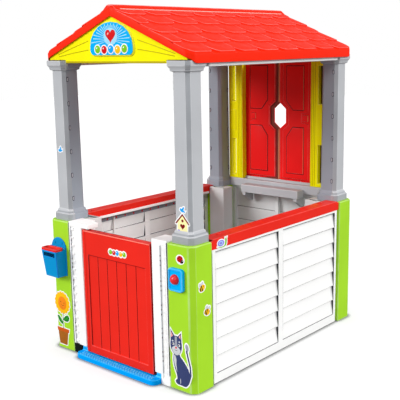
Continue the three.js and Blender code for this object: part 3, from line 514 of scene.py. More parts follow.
def front_of(node, x, z, from_middle=True):
    """Places (right, up, rise) on the gate side of a node, as it is at x, z. right and up run from
    the middle of the house and the floor, or else from x, z."""
    level = surface(node, (x, -2.0, z), (0, 1, 0)).y
    return facing(1, level, -1) if from_middle else facing(1, level, -1, x, z)


def onto_front(node, x, z):
    """As front_of, from x, z, which suits stickers."""
    return front_of(node, x, z, from_middle=False)


def onto_right(node, y, z, sunk=0.0):
    """Places (right, up, rise) on the right side of a node, from the point y, z."""
    return facing(0, surface(node, (2.0, y, z), (-1, 0, 0)).x - sunk, 1, y, z)


def relief(name, place, outlines, height, rim, material, body="house", foot=0.2):
    """Raised fields on a flat face. foot is how deep they reach into it. Millimetres."""
    shells = [
        plate(metres(outline), place, height * MM, rim * MM, material, foot * MM)
        for outline in outlines
    ]
    return piece(name, shells, body)


FACE_ON = 0.93  # a face of a leaf turned further away than this is an edge of its field


def outlined(thing, dark, light):
    """Gives a raised field dark edges, a painted shade, and light ones on its right side, a painted
    highlight.
    """
    for material in (dark, light):
        thing.data.materials.append(material)
    count = len(thing.data.materials)
    for face in thing.data.polygons:
        if abs(face.normal.y) < FACE_ON:
            face.material_index = count - (1 if face.normal.x > 0.6 else 2)

# ---- Roof ----------------------------------------------------------------------------------

ROOF_LOW, ROOF_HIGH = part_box("roof_right")
ROOF_MIDDLE = (ROOF_LOW.y + ROOF_HIGH.y) / 2
ROOF_WIDTH, ROOF_LENGTH = ROOF_HIGH.x, (ROOF_HIGH.y - ROOF_LOW.y) / 2
SLOPE = 0.434
BED = ROOF_HIGH.z + SLOPE * ROOF_LOW.x  # height of the tile bed at the ridge
ROWS, TILES = 5, 8
ROW = ROOF_WIDTH / ROWS
TILE = 2 * ROOF_LENGTH / TILES
TILE_GAP = 0.5 * MM
TILE_LIFT = 3.3 * MM  # height of a row's upper end over the bed
TILE_STEP = 4.4 * MM  # how far each row stands over the next
TILE_ROUND, TILE_CORNER = 33 * MM, 53 * MM  # half-width and length of a tile's rounded corner
TILE_TRIM = 0.8 * MM  # room between the tiles and the roof's edge
CORNER = 34 * MM  # radius of the roof's corners, seen from above
SHEET_THICK = 4.4 * MM
SKIRT = 3.2 * MM
LIP = 1.5 * MM  # how far the skirt's lip stands over the bed
LIP_ROUND = 3.4 * MM


def tile(side, row, middle):
    """One tile with a round-cornered lower edge, its upper end tucked under the row above."""
    half = (TILE - TILE_GAP) / 2
    top, end = max(row * ROW - TILE_CORNER - 4 * MM, 8 * MM), (row + 1) * ROW
    right = []
    for i in range(10):
        turn = math.pi / 2 * i / 9
        along, across = TILE_CORNER * (1 - math.cos(turn)), TILE_ROUND * (1 - math.sin(turn))
        right.append((end - along, middle + half - across))
    outline = [(top, middle + half), *right[::-1]]
    outline += [(u, 2 * middle - v) for u, v in right] + [(top, middle - half)]
    reach = ROOF_LENGTH - TILE_TRIM
    low_v, high_v = ROOF_MIDDLE - reach, ROOF_MIDDLE + reach
    outline = clipped(outline, 0.0, ROOF_WIDTH - TILE_TRIM, low_v, high_v)
    if not outline:
        return None
    outline = spaced([within_corner(u, v) for u, v in outline])

    def place(u, v, rise):
        lift = TILE_LIFT + TILE_STEP * (u - row * ROW) / ROW
        return (side * u, v, BED - SLOPE * u + lift + rise)

    def floor(u, v):
        return (side * u, v, BED - SLOPE * u - 2 * MM)

    return plate(outline, place, 0.0, 1.1 * MM, ROOF_RED, floor=floor)


def within_corner(u, v):
    """Pulls a point of the plan inside the roof's rounded corners."""
    radius = CORNER - TILE_TRIM
    centre_u, centre_v = ROOF_WIDTH - CORNER, ROOF_LENGTH - CORNER
    du, dv = u - centre_u, abs(v - ROOF_MIDDLE) - centre_v
    if du <= 0 or dv <= 0 or math.hypot(du, dv) <= radius:
        return (u, v)
    scale = radius / math.hypot(du, dv)
    way = 1 if v > ROOF_MIDDLE else -1
    return (centre_u + du * scale, ROOF_MIDDLE + way * (centre_v + dv * scale))


def spaced(outline, least=0.4 * MM):
    """The outline with points that lie too close to the one before left out."""
    kept = []
    for point in outline:
        if not kept or math.dist(point, kept[-1]) > least:
            kept.append(point)
    while math.dist(kept[0], kept[-1]) <= least:
        kept.pop()
    return kept


def skirt_path():
    """Points of the roof's edge from ridge to ridge, seen from above: (x, y, outward, share),
    where share runs from 0 on the gable edge to 1 on the eave."""
    points = []
    start, straight = 0.6 * MM, ROOF_WIDTH - CORNER
    for i in range(7):
        points.append((start + (straight - start) * i / 7, -ROOF_LENGTH, (0, -1), 0.0))
    for i in range(11):
        turn = math.pi / 2 * i / 10
        outward = (math.sin(turn), -math.cos(turn))
        x = straight + CORNER * outward[0]
        y = -ROOF_LENGTH + CORNER + CORNER * outward[1]
        points.append((x, y, outward, i / 10))
    points.append((ROOF_WIDTH, 0.0, (1, 0), 1.0))
    mirrored = [(x, -y, (nx, -ny), share) for x, y, (nx, ny), share in points[:-1]]
    return points + mirrored[::-1]


def skirt(side):
    """The band along both gable edges and the eave, turning each corner in a curve."""
    band_top = BED - 32 * MM
    band_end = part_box("column_outer_front_right")[1].z + 1.5 * MM
    eave = ROOF_LOW.z
    loops = []
    for x, y, (nx, ny), share in skirt_path():
        rake = band_top + (band_end - band_top) * x / (ROOF_WIDTH - SKIRT)
        drop = min(1.0, max(0.0, (share - 0.45) / 0.55))
        low = rake + (eave - rake) * drop * drop * (3 - 2 * drop)
        high = BED - SLOPE * x + LIP
        section = [(0.9 * MM, low), (0.0, low + 0.9 * MM), (0.0, high - LIP_ROUND)]
        for i in range(1, 5):
            turn = math.pi / 2 * i / 4
            into, under = LIP_ROUND * (1 - math.cos(turn)), LIP_ROUND * (1 - math.sin(turn))
            section.append((into, high - under))
        inner = LIP_ROUND + 3.1 * MM
        section += [(inner, high - 0.6 * MM), (inner, high - 5 * MM)]
        section += [(SKIRT, high - 7 * MM), (SKIRT, low)]
        loops.append(
            [(side * (x - nx * into), ROOF_MIDDLE + y - ny * into, z) for into, z in section]
        )
    return with_rim(*rings(loops), ROOF_RED, ())


def deck(side):
    """The sheet under the tiles."""
    trim = 1.4 * MM
    reach = ROOF_LENGTH - trim
    outline = rounded(-0.1, ROOF_WIDTH - trim, -reach, reach, CORNER - trim, 8)
    outline = clipped(outline, 0.6 * MM, 1.0, -1.0, 1.0)

    def place(u, v, rise):
        return (side * u, ROOF_MIDDLE + v, BED - SLOPE * u - SHEET_THICK + rise)

    return plate(outline, place, SHEET_THICK, 0.2 * MM, ROOF_RED)


for side, way in SIDES:
    shells = [deck(way), skirt(way)]
    for row in range(ROWS):
        for i in range(TILES + 1):
            middle = ROOF_MIDDLE - ROOF_LENGTH + (i + 0.5 * (1 - row % 2)) * TILE
            made = tile(way, row, middle)
            if made:
                shells.append(made)
    piece(f"roof_{side}_tiles", shells, replaces=(f"roof_{side}",))

# ---- Moulded parts that keep their CAD shape ------------------------------------------------

STICKER_ROOM = 0.6 * MM
CORNERS = [f"{end}_{side}" for end in ("front", "back") for side in ("left", "right")]
SEAM_NEAR = 0.6 * MM  # an edge this close to a seam's plane belongs to it
PLINTH_TOP = 600 * MM
LEDGE_TOP = 500 * MM
SLATS_LOW, SLATS_HIGH = 40 * MM, 508 * MM
PANEL_LOW, PANEL_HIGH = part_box("side_panel_right")
SLAT_FACE = PANEL_HIGH.x - 0.2 * MM
SLAT_ROOT = SLAT_FACE - 14 * MM
LEAF_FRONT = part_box("shutter_left")[0].y
GATE_LOW, GATE_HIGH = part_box("gate_front_shell")
GATE_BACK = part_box("gate_back_shell")[1].y
FIELD_DEPTH = 4 * MM  # how deep the gate's planked field lies
GROOVE_DEPTH = 2.2 * MM
PLANKS_EDGE = 120 * MM  # the outer grooves of the gate lie within this


def column_seam(corner):
    """A test for the edges where a column's two halves meet."""
    low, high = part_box(f"column_inner_{corner}")
    plane_x = max(abs(low.x), abs(high.x))
    plane_y = max(abs(value - ROOF_MIDDLE) for value in (low.y, high.y))

    def on(co):
        near_x = abs(abs(co.x) - plane_x) < SEAM_NEAR
        return near_x or abs(abs(co.y - ROOF_MIDDLE) - plane_y) < SEAM_NEAR

    return lambda a, b: on(a) and on(b)


def on_plinth(centre, normal):
    """Upright faces of a column's plinth, and the chamfer of its shaft, which take a painted shade.
    """
    chamfer = abs(normal.x) > 0.5 and abs(normal.y) > 0.5
    return abs(normal.z) < 0.4 and (chamfer or centre.z < PLINTH_TOP)


def under_slat(centre, normal):
    """Undersides of the slats, the ledges behind them, and the ends of the bays they run into:
    painted shade.
    """
    if abs(centre.x) < SLAT_ROOT:
        return False
    if normal.z < -0.2 or (normal.z > 0.7 and centre.z < LEDGE_TOP):
        return True
    slats = SLATS_LOW < centre.z < SLATS_HIGH and abs(centre.x) > SLAT_ROOT
    return slats and abs(normal.y) > 0.8 and abs(centre.x) < SLAT_FACE


def between_louvres(centre, normal):
    """The level faces between the back panel's slats: painted shade."""
    return abs(normal.z) > 0.5 and centre.z < LEDGE_TOP


def meeting_strip(centre, normal):
    """The sunk border of the left leaf, along the line where the two leaves meet: painted shade."""
    sunk = centre.y - LEAF_FRONT
    return -60 * MM < centre.x < 0 and normal.y < -0.3 and 1.5 * MM < sunk < 9 * MM


def sunk_in_gate(co):
    """How far a point lies behind the nearer face of the gate."""
    return min(co.y - GATE_LOW.y, GATE_BACK - co.y)


def gate_seam(a, b):
    """The line where the gate's shells meet, and the floor of its planked field."""
    if all(abs(co.y - GATE_HIGH.y) < SEAM_NEAR for co in (a, b)):
        return True
    return all(0.8 * FIELD_DEPTH < sunk_in_gate(co) < 2 * FIELD_DEPTH for co in (a, b))


def gate_groove(centre, normal):
    """The grooves between the planks, the field's left and upper walls, and the free end: painted
    shade.
    """
    if centre.x > GATE_HIGH.x - 2.5 * MM and normal.x > 0.5:
        return True
    depth = sunk_in_gate(centre)
    if FIELD_DEPTH * 1.05 < depth < FIELD_DEPTH + GROOVE_DEPTH:
        return abs(centre.x) < PLANKS_EDGE
    wall = 0.1 * MM < depth < FIELD_DEPTH * 1.05 and abs(normal.y) < 0.8
    return wall and (normal.x > 0.5 or normal.z < -0.5)


for corner in CORNERS:
    softened(f"corner_post_{corner}", LIME, 4.5, far_x=CAD_BOX[1][0] - STICKER_ROOM)
    softened(f"corner_liner_{corner}", LINER, 2.5)
    softened(f"column_outer_{corner}", GREY, 2.2, column_seam(corner), shaded=on_plinth)
    softened(f"column_inner_{corner}", SHADE_GREY, 2.2, column_seam(corner))

for side in ("left", "right"):
    softened(f"side_panel_{side}", WHITE, 3.0, shaded=under_slat)
    softened(f"side_rail_{side}", GATE_RED, 4.0)
    softened(f"rail_peg_front_{side}", GATE_RED, 1.0)
    softened(f"rail_peg_back_{side}", GATE_RED, 1.0)
    softened(f"jamb_{side}", WHITE, 2.5)
    softened(f"window_frame_{side}", YELLOW, 2.5)
    softened(f"shutter_{side}", SHUTTER_RED, 2.2, shaded=meeting_strip)
    softened(f"eave_beam_{side}", LINER, 1.5)
    softened(f"shelf_bracket_{side}", GREY, 1.5)
    softened(f"mailbox_screw_{side}", PAINTED_STEEL, 0.6)
    softened(f"shutter_pin_top_{side}", STEEL, 0.5)
    softened(f"shutter_pin_bottom_{side}", STEEL, 0.5)

softened("gate_front_shell", GATE_RED, 4.0, gate_seam, shaded=gate_groove)
softened("gate_back_shell", GATE_RED, 4.0, gate_seam, shaded=gate_groove)
softened("gate_pin_top", STEEL, 0.6)
softened("gate_pin_bottom", STEEL, 0.6)
softened("threshold_step", STEP_BLUE, 7.0)
softened("back_panel", LINER, 1.0, shaded=between_louvres)
softened("back_sill", GREY, 3.0)
softened("shelf", GREY, 4.0)
softened("ridge_cap", ROOF_RED, 5.0)
softened("gable_front", YELLOW, 1.6)
softened("gable_back", YELLOW, 1.6)
softened("gable_plaque", SKY, 0.8)
softened("mailbox_body", MAIL_BLUE, 2.2)
softened("mailbox_lid", GATE_RED, 2.0)
softened("mailbox_hinge_pin", STEEL, 0.4)
softened("doorbell_plate", SKY, 2.5)
softened("doorbell_button", BUTTON_RED, 1.0)

spring = softened("doorbell_spring", STEEL, 0.1)
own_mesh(spring)

# ---- Stickers ------------------------------------------------------------------------------
# Each is a stack of thin printed plates on a white, die-cut one. Outlines start from the
# sticker's middle, except where its function says otherwise.

PAPER, PRINT = 0.2 * MM, 0.07 * MM  # thickness of the white plate and of each layer over it
VINYL_RIM = 0.05 * MM


def sticker(name, place, border, cut, prints, body="house"):
    """cut lists the outlines whose grown shapes make the white plate, and prints lists (ink,
    layer, outline) from the lowest layer up."""
    shells = []

    def add(outline, height, ink):
        shells.append(plate(metres(outline), place, height, VINYL_RIM, INK[ink], PRINT))

    for i, outline in enumerate(cut):
        add(inset(outline, -border), PAPER + 0.004 * MM * i, "paper")
    for i, (ink, layer, outline) in enumerate(prints):
        add(outline, PAPER + PRINT * layer + 0.002 * MM * i, ink)
    return piece(name, shells, body)


def stroke(half, *points):
    """The outline of a line of even thickness through the points, with round ends."""
    line = [Vector(point) for point in points]
    left, right = [], []
    for i, here in enumerate(line):
        way = (line[min(i + 1, len(line) - 1)] - line[max(i - 1, 0)]).normalized()
        side = Vector((-way.y, way.x)) * half
        left.append(tuple(here + side))
        right.append(tuple(here - side))
    caps = []
    for end, before in ((line[-1], line[-2]), (line[0], line[1])):
        heading = math.atan2(*(end - before).yx)
        turns = [heading - math.pi / 2 + math.pi * k / 6 for k in range(1, 6)]
        caps.append([(end.x + half * math.cos(t), end.y + half * math.sin(t)) for t in turns])
    return right + caps[0] + left[::-1] + caps[1]


def heart(u, v, size):
    outline = []
    for i in range(36):
        t = 2 * math.pi * i / 36
        a = 16 * math.sin(t) ** 3
        b = 13 * math.cos(t) - 5 * math.cos(2 * t) - 2 * math.cos(3 * t) - math.cos(4 * t)
        outline.append((u + a * size / 32, v + (b + 2) * size / 32))
    return outline


def daisy(u, v, radius, petals, depth):
    """A round outline with a scalloped edge."""
    outline = []
    for i in range(petals * 6):
        t = 2 * math.pi * i / (petals * 6)
        reach = radius - depth * (1 - abs(math.sin(petals * t / 2)))
        outline.append((u + reach * math.cos(t), v + reach * math.sin(t)))
    return outline


def ladybird(name, place):
    spots = ((-9, 3, 2.8), (-3, 9, 2.6), (6, 7.5, 2.8), (0, 0.5, 2.6), (-6, -5.5, 2.6))
    prints = [("black", 1, ellipse(6, -6, 10, 8)), ("red", 2, ellipse(-1, 1.5, 14.5, 12, 0.3))]
    prints += [("black", 3, ellipse(*spot)) for spot in spots]
    prints += [("black", 3, ellipse(8, -5, 6, 4.6)), ("paper", 4, ellipse(10.5, -5, 1.4))]
    sticker(name, place, 4.5, [ellipse(0.5, -0.5, 17, 14)], prints)


def cat(name, place):
    """A sitting cat with its tail held up. Heights are from its feet."""
    trunk = smooth_loop(
        (-36, 128), (-42, 102), (-37, 74), (-27, 50), (-24, 32), (-33, 20), (-24, 10), (-2, 9),
        (18, 9), (33, 24), (42, 50), (33, 78), (14, 102), (-4, 118), (-14, 130),
    )
    head = smooth_loop(
        (-27, 197), (-43, 193), (-53, 176), (-54, 150), (-43, 129), (-27, 121), (-10, 129),
        (1, 150), (1, 175), (-9, 193),
    )
    chest = smooth_loop((-36, 122), (-39, 100), (-33, 76), (-24, 58), (-27, 84), (-27, 108))
    muzzle = smooth_loop((-27, 158), (-47, 146), (-42, 130), (-26, 122), (-10, 130), (-6, 146))
    ears = [[(-53, 178), (-53, 219), (-33, 195)], [(-19, 195), (-1, 213), (1, 178)]]
    tail = stroke(3.8, (34, 34), (43, 60), (41, 92), (31, 126), (25, 150))
    tip = ellipse(27, 163, 7.5, 14, 0.2)
    prints = [("navy", 1, shape) for shape in (trunk, tail, *ears)]
    prints += [
        ("slate", 2, tip),
        ("navy", 2, head),
        ("pink", 3, [(-51, 186), (-51, 210), (-41, 194)]),
        ("pink", 3, [(-12, 195), (-4, 206), (-3, 188)]),
        ("silver", 2, chest),
        ("silver", 2, ellipse(-8, 24, 1.6, 11)),
        ("slate", 3, [(-32, 194), (-22, 194), (-20, 156), (-34, 156)]),
        ("silver", 4, muzzle),
        ("silver", 3, ellipse(-43, 174, 4.5, 3)),
        ("silver", 3, ellipse(-10, 176, 3.5, 3.4)),
        ("paper", 5, ellipse(-41, 163, 5.4, 4.8)),
        ("paper", 5, ellipse(-12, 162, 5.4, 5)),
        ("black", 6, ellipse(-42, 163, 3, 3.6)),
        ("black", 6, ellipse(-13, 162, 3, 3.6)),
        ("red", 6, ellipse(-27, 151, 4.4, 4)),
        ("black", 6, stroke(0.8, (-33, 142), (-27, 139.5), (-21, 142))),
    ]
    sticker(name, place, 5, [trunk, head, *ears, tail, tip], prints)


def potted_flower(name, place):
    """A smiling flower in a pot. Heights are from the pot's foot."""
    bloom = daisy(-5, 186, 49, 16, 5)
    stem = stroke(2.2, (-3, 142), (-6, 110), (-4, 72))
    leaves = [
        smooth_loop((-4, 112), (8, 128), (26, 136), (36, 124), (28, 110), (12, 106)),
        smooth_loop((-6, 92), (-12, 108), (-28, 124), (-40, 124), (-34, 106), (-20, 94)),
    ]
    rim = [(-43, 58), (-46, 74), (32, 74), (29, 58)]
    pot = [(-40, 60), (-33, 2), (15, 2), (25, 60)]
    prints = [("leaf", 1, stem), *(("leaf", 2, leaf) for leaf in leaves)]
    prints += [
        ("green", 3, stroke(0.9, (2, 112), (16, 118), (27, 126))),
        ("green", 3, stroke(0.9, (-12, 98), (-22, 108), (-33, 118))),
        ("gold", 2, bloom),
        ("orange", 3, ellipse(-5, 184, 27, 29)),
        ("brown", 4, ellipse(-15, 189, 2.6, 3)),
        ("brown", 4, ellipse(6, 186, 2.6, 3)),
        ("brown", 4, stroke(1.1, (-13, 178), (-5, 173), (4, 176))),
        ("brown", 2, pot),
        ("rust", 3, rim),
    ]
    sticker(name, place, 4, [bloom, stem, *leaves, rim, pot], prints)


def bird(u, v, turn=0.0):
    """Outlines of a small bird: body, wing and tail."""
    shapes = (
        smooth_loop((-12, 1), (-8, 6), (0, 3), (9, -2), (6, -7), (-3, -7), (-9, -3)),
        smooth_loop((-4, 0), (2, 9), (9, 12), (8, 5), (3, -2)),
        [(5, -4), (15, -3), (11, -9), (5, -6)],
    )
    return [turned(shape, turn, u, v) for shape in shapes]


def birdhouse(name, place):
    house = [(-23, -30), (23, -30), (23, 8), (0, 31), (-23, 8)]
    eaves = [stroke(2.8, (-30, 1), (0, 33)), stroke(2.8, (0, 33), (30, 1))]
    perch = stroke(2.2, (-14, -30), (24, -33))
    visitor = bird(0, 50)
    prints = [
        ("cream", 1, house),
        *(("maroon", 2, eave) for eave in eaves),
        ("maroon", 2, ellipse(0, 11, 5.4)),
        ("maroon", 2, heart(0, -11, 23)),
        ("orange", 2, perch),
        ("violet", 3, ellipse(-18, -27, 5)),
        ("green", 3, ellipse(-12, -32, 3)),
        *(("sky", 1 + i, shape) for i, shape in enumerate(visitor)),
    ]
    sticker(name, place, 4, [house, *eaves, perch, *visitor], prints)


def bee(name, place, turn):
    trunk = ellipse(0, 0, 16, 12)
    wings = [ellipse(-5, 14, 7, 10, 0.3), ellipse(6, 14, 6, 9, -0.4)]
    prints = [("silver", 1, wing) for wing in wings] + [("gold", 2, trunk)]
    prints += [("black", 3, clipped(trunk, low, low + 5, -20, 20)) for low in (-13, -4)]
    prints.append(("black", 3, ellipse(10, 3, 2.2)))
    prints = [(ink, layer, turned(shape, turn)) for ink, layer, shape in prints]
    sticker(name, place, 4, [turned(shape, turn) for shape in (trunk, *wings)], prints)


def snail(name, place):
    foot = smooth_loop(
        (-26, -10), (-10, -13), (12, -12), (18, 2), (19, 12), (27, 12), (27, -4), (20, -14),
        (-4, -17),
    )
    shell = ellipse(-6, 1, 19, 12)
    horns = [stroke(1.2, (21, 10), (18, 18)), stroke(1.2, (25, 10), (29, 18))]
    prints = [("lime", 1, foot), *(("lime", 1, horn) for horn in horns), ("violet", 2, shell)]
    prints += [("pale", 3, ellipse(-6, 1, 12, 7.5)), ("violet", 4, ellipse(-6, 1, 8, 5))]
    prints.append(("black", 2, ellipse(24, 8, 1.4)))
    sticker(name, place, 4, [foot, shell, *horns], prints)


def five_discs(name, place, pitch, radius, border, body="house"):
    """A row of five plain coloured discs with a gleam on each. lift is in radii."""
    discs, prints = [], []
    looks = (("lime", 0.0), ("red", -0.12), ("sky", 0.05), ("gold", -0.12), ("lime", 0.1))
    for i, (colour, lift) in enumerate(looks):
        across = (i - 2) * pitch
        gleam = (across - 0.3 * radius, (lift + 0.32) * radius, 0.26 * radius, 0.16 * radius, 0.6)
        discs.append(ellipse(across, lift * radius, radius))
        prints += [(colour, 1, discs[-1]), ("paper", 2, ellipse(*gleam))]
    sticker(name, place, border, discs, prints, body)


POST = "corner_post_front_right"
POST_X, POST_Y = (sum(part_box(POST), Vector()) / 2).xy
COLUMN = "column_outer_front_right"
COLUMN_X = (sum(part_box(COLUMN), Vector()) / 2).x
RAIL_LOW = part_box("side_rail_right")[0]

ladybird("sticker_ladybird", onto_front(POST, POST_X + 3 * MM, 504 * MM))
cat("sticker_cat", onto_front(POST, POST_X, 14 * MM))
potted_flower("sticker_flower", onto_front("corner_post_front_left", -POST_X, 14 * MM))
birdhouse("sticker_birdhouse", onto_front(COLUMN, COLUMN_X + 2 * MM, 628 * MM))
bee("sticker_bee_upper", onto_right(POST, POST_Y - 3 * MM, 396 * MM, STICKER_ROOM), 0.35)
bee("sticker_bee_lower", onto_right(POST, POST_Y + 22 * MM, 300 * MM, STICKER_ROOM), -0.3)
snail("sticker_snail", onto_right("side_rail_right", RAIL_LOW.y + 63 * MM, RAIL_LOW.z + 16 * MM))
flyer = bird(0, 0, 0.4)
sticker(
    "sticker_bird", onto_front("column_outer_front_left", -COLUMN_X - 4 * MM, 843 * MM), 4, flyer,
    [("sky", 1 + i, shape) for i, shape in enumerate(flyer)],
)
BADGE_PLACE = onto_front("gate_front_shell", GATE_LOW.x + 201 * MM, GATE_HIGH.z - 65 * MM)
five_discs("sticker_gate", BADGE_PLACE, 19, 9.5, 5, "gate")

# ---- Gable plaque: a heart in a burst of rays ------------------------------------------------

PLAQUE_LOW, PLAQUE_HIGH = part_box("gable_plaque")
PLAQUE_HALF = PLAQUE_HIGH.x / MM
PLAQUE_TALL = (PLAQUE_HIGH.z - PLAQUE_LOW.z) / MM
PLAQUE_SHOULDER = 31  # where the arch starts
RAYS, RAYS_MIDDLE, RAYS_FROM, RAYS_FOOT = 26, 56, 26.0, 34


def ray_reach(c, s):
    """How far a ray runs from the middle of the burst before it meets the plaque's border."""
    reach = 30.0
    while reach < 130:
        v = RAYS_MIDDLE + reach * s
        over = max(0.0, v - PLAQUE_SHOULDER) / (PLAQUE_TALL - PLAQUE_SHOULDER)
        if math.hypot(reach * c / PLAQUE_HALF, over) > 0.95 or v < RAYS_FOOT:
            break
        reach += 1.0
    return reach


def plaque_art():
    """Heights are from the plaque's foot."""
    prints = []
    for i in range(RAYS):
        turn = math.radians(-14 + 208 * i / (RAYS - 1))
        c, s = math.cos(turn), math.sin(turn)
        reach = ray_reach(c, s)
        if reach < 40:
            continue
        far = reach - (8 if i % 2 else 1)
        corners = ((RAYS_FROM, -0.8), (RAYS_FROM, 0.8), (far, 1.9), (far, -1.9))
        ray = [(r * c + half * s, RAYS_MIDDLE + r * s - half * c) for r, half in corners]
        prints.append(("pale", 1, ray))
    prints += [
        ("pale", 2, ellipse(0, 66, 36, 31)),
        ("red", 3, heart(0, 68, 54)),
        ("pink", 4, ellipse(-13, 77, 5.5, 3.4, 0.8)),
    ]
    sticker("plaque_heart", onto_front("gable_plaque", 0.0, PLAQUE_LOW.z), 0, [], prints)
    discs = onto_front("gable_plaque", 0.0, PLAQUE_LOW.z + 21 * MM)
    five_discs("plaque_discs", lambda u, v, rise: discs(u, v, rise + 5 * PRINT), 36, 14.5, 4)


plaque_art()

# ---- Shutters and window frames --------------------------------------------------------------
# Outlines are from the middle of the house and from the floor. They are written for the right leaf
# and mirrored for the left one.

FIELD_INNER, WAIST_INNER = 24, 58  # the field's edge by the meeting line, and by the peep hole
PANEL_TOP, PANEL_FOOT = 1147, 643
PANEL_CUT = 35  # how far a panel's corner by the peep hole is cut back
RIM_WIDE = 2.6 * MM
FLUTES = (203, 212, 221)
BEAD_SPANS = ((606, 850), (977, 1176))  # below and above the peep hole
LEAF_SHAPE = {  # panels' inner and outer edge, field's outer edge, and its notch at the latch
    "right": (46, 140, 166, 128, 928, 886),
    "left": (66, 168, 172, 150, 926, 888),
}


def leaf_relief(side, way):
    """The raised field, panels, dark rims and latch of a leaf, and its frame's flutes. Dark rims
    and edges are painted shade, pale right-hand edges a painted highlight.
    """
    near, far, outer, notch, notch_top, notch_foot = LEAF_SHAPE[side]
    name, inner = f"shutter_{side}", FIELD_INNER
    on_leaf = front_of(name, way * 110 * MM, 640 * MM)

    def mirrored(*points):
        return [(way * u, v) for u, v in points]

    upper = mirrored(
        (near, PANEL_TOP), (far, PANEL_TOP), (far, 944), (near + PANEL_CUT, 944), (near, 987)
    )
    lower = mirrored(
        (near + PANEL_CUT, 862), (near, 815), (near, PANEL_FOOT), (far, PANEL_FOOT), (far, 862)
    )
    field = mirrored(
        (inner, 1163), (outer, 1163), (outer, 932), (notch, notch_top), (notch, notch_foot),
        (outer, 880), (outer, 617), (inner, 617), (inner, 840), (WAIST_INNER, 866),
        (WAIST_INNER, 960), (inner, 986),
    )
    latch = mirrored(*rounded(136, 165, 892, 922, 3, 3))
    # The right leaf's panels get a painted highlight on their right edges, the left leaf's painted
    # shade.
    panel_edge = LEAF_HIGHLIGHT if way > 0 else LEAF_SHADE_LINE  # only the right leaf's panels catch light
    raised = relief(name + "_field", on_leaf, [field], 1.4, 1.3, SHUTTER_RED, name)
    outlined(raised, LEAF_SHADE_LINE, EDGE_RUB_AND_PAINTED_LIGHT_OF[SHUTTER_RED.name])
    raised = relief(name + "_panels", on_leaf, [upper, lower], 3.2, 1.8, SHUTTER_RED, name)
    outlined(raised, LEAF_SHADE_LINE, panel_edge)
    rims = [
        hoop(inset(metres(panel), -RIM_WIDE), RIM_WIDE, on_leaf, 1.7 * MM, 0.3 * MM, LEAF_SHADE_LINE)
        for panel in (upper, lower)
    ]
    piece(name + "_rims", rims, name)
    raised = relief(name + "_latch", on_leaf, [latch], 4.0, 1.4, SHUTTER_RED, name)
    outlined(raised, LEAF_SHADE_LINE, LEAF_HIGHLIGHT)

    frame_name = f"window_frame_{side}"
    on_frame = front_of(frame_name, way * 215 * MM, 700 * MM)
    # The flutes are a darker yellow: painted shade.
    flutes = [mirrored(*rounded(at, at + 1.2, 600, 1182, 0.5, 3)) for at in FLUTES]
    relief(frame_name + "_flutes", on_frame, flutes, 0.8, 0.5, FLUTE_SHADE)


for side, way in SIDES:
    leaf_relief(side, way)

# ---- Lines on the gable, and the doorbell plate's rim ------------------------------------------

GABLE_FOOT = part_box("gable_front")[0].z / MM
on_gable = front_of("gable_front", 0.21, 1.235)
# The gable's double lines and the strip along its foot are a darker yellow: painted shade.
lines = []
for way in (1, -1):
    lines.append(stroke(1.3, (way * 313, 1222), (way * 225, 1247), (way * 132, 1272)))
    lines.append(stroke(1.3, (way * 310, 1214), (way * 225, 1227), (way * 132, 1239)))
relief("gable_front_lines", on_gable, lines, 1.0, 0.8, GABLE_SHADE_LINE)
gable_foot = rounded(-268, 268, GABLE_FOOT + 0.2, GABLE_FOOT + 7.5, 0.6)
relief("gable_front_foot", on_gable, [gable_foot], 0.8, 0.5, GABLE_SHADE_LINE)

BELL_LOW, BELL_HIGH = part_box("doorbell_plate")
bell = rounded(BELL_LOW.x + MM, BELL_HIGH.x - MM, BELL_LOW.z + MM, BELL_HIGH.z - MM, 11 * MM, 6)
bell_rim = hoop(bell, 6 * MM, facing(1, BELL_LOW.y, -1), 3.4 * MM, 1.6 * MM, SKY)
piece("doorbell_rim", [bell_rim])

# ---- Small parts that the CAD leaves plain ---------------------------------------------------

STEP_LOW, STEP_HIGH = (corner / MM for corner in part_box("threshold_step"))
TREAD = 20 * MM
FIRST_BUMP, BUMP_ROWS, BUMP_ROW_PITCH = 6, 3, 10  # from the step's front edge
BUMP_PITCH, BUMP_MARGIN = 14, 30
# The bumps on the tread are a paler blue: a painted highlight.
bumps = []
for row in range(BUMP_ROWS):
    depth = STEP_LOW.y + FIRST_BUMP + row * BUMP_ROW_PITCH
    reach = STEP_HIGH.x - BUMP_MARGIN
    for i in range(int(2 * reach / BUMP_PITCH) + 1):
        across = -reach + i * BUMP_PITCH + 4 * (row % 2)
        bumps.append(ellipse(across, depth, 4.2, 2.4, sides=12))
relief("step_bumps", facing(2, TREAD, 1), bumps, 2.4, 1.0, BUMP_HIGHLIGHT_BLUE)

SILL_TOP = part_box("back_sill")[1].z
FRAME_LOW, FRAME_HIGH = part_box("window_frame_right")
sill_reach, leaf_front = FRAME_LOW.x / MM - 1, LEAF_FRONT / MM
sill_lip = rounded(-sill_reach, sill_reach, leaf_front - 9, leaf_front - 2, 2, 3)
relief("back_sill_lip", facing(2, SILL_TOP, 1), [sill_lip], 11, 1.5, GREY)

# Dark sheets behind the right frame's slots: painted shade seen through them.
SLOTS = ((614, 792), (978, 1150))
SLOT_INNER, SLOT_OUTER = 238, 260
backs = [rounded(SLOT_INNER - 1, SLOT_OUTER + 1, low - 1, high + 1, 1) for low, high in SLOTS]
slot_place = facing(1, (FRAME_LOW.y + FRAME_HIGH.y) / 2, -1)
relief("window_frame_right_slot_backs", slot_place, backs, 1.0, 0.3, SLOT_SHADE, foot=1)

JAMB_LOW, JAMB_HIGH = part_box("jamb_right")
JAMB_OUTER = JAMB_HIGH.x / MM
PANEL_FRONT = PANEL_LOW.y / MM
CHANNEL_EDGE = {"right": 239, "left": -262}  # inner edge of the groove down each jamb's front
NOTCHES = [group + shift for group in (112, 204, 295, 387, 483) for shift in (-18, 0, 18)]
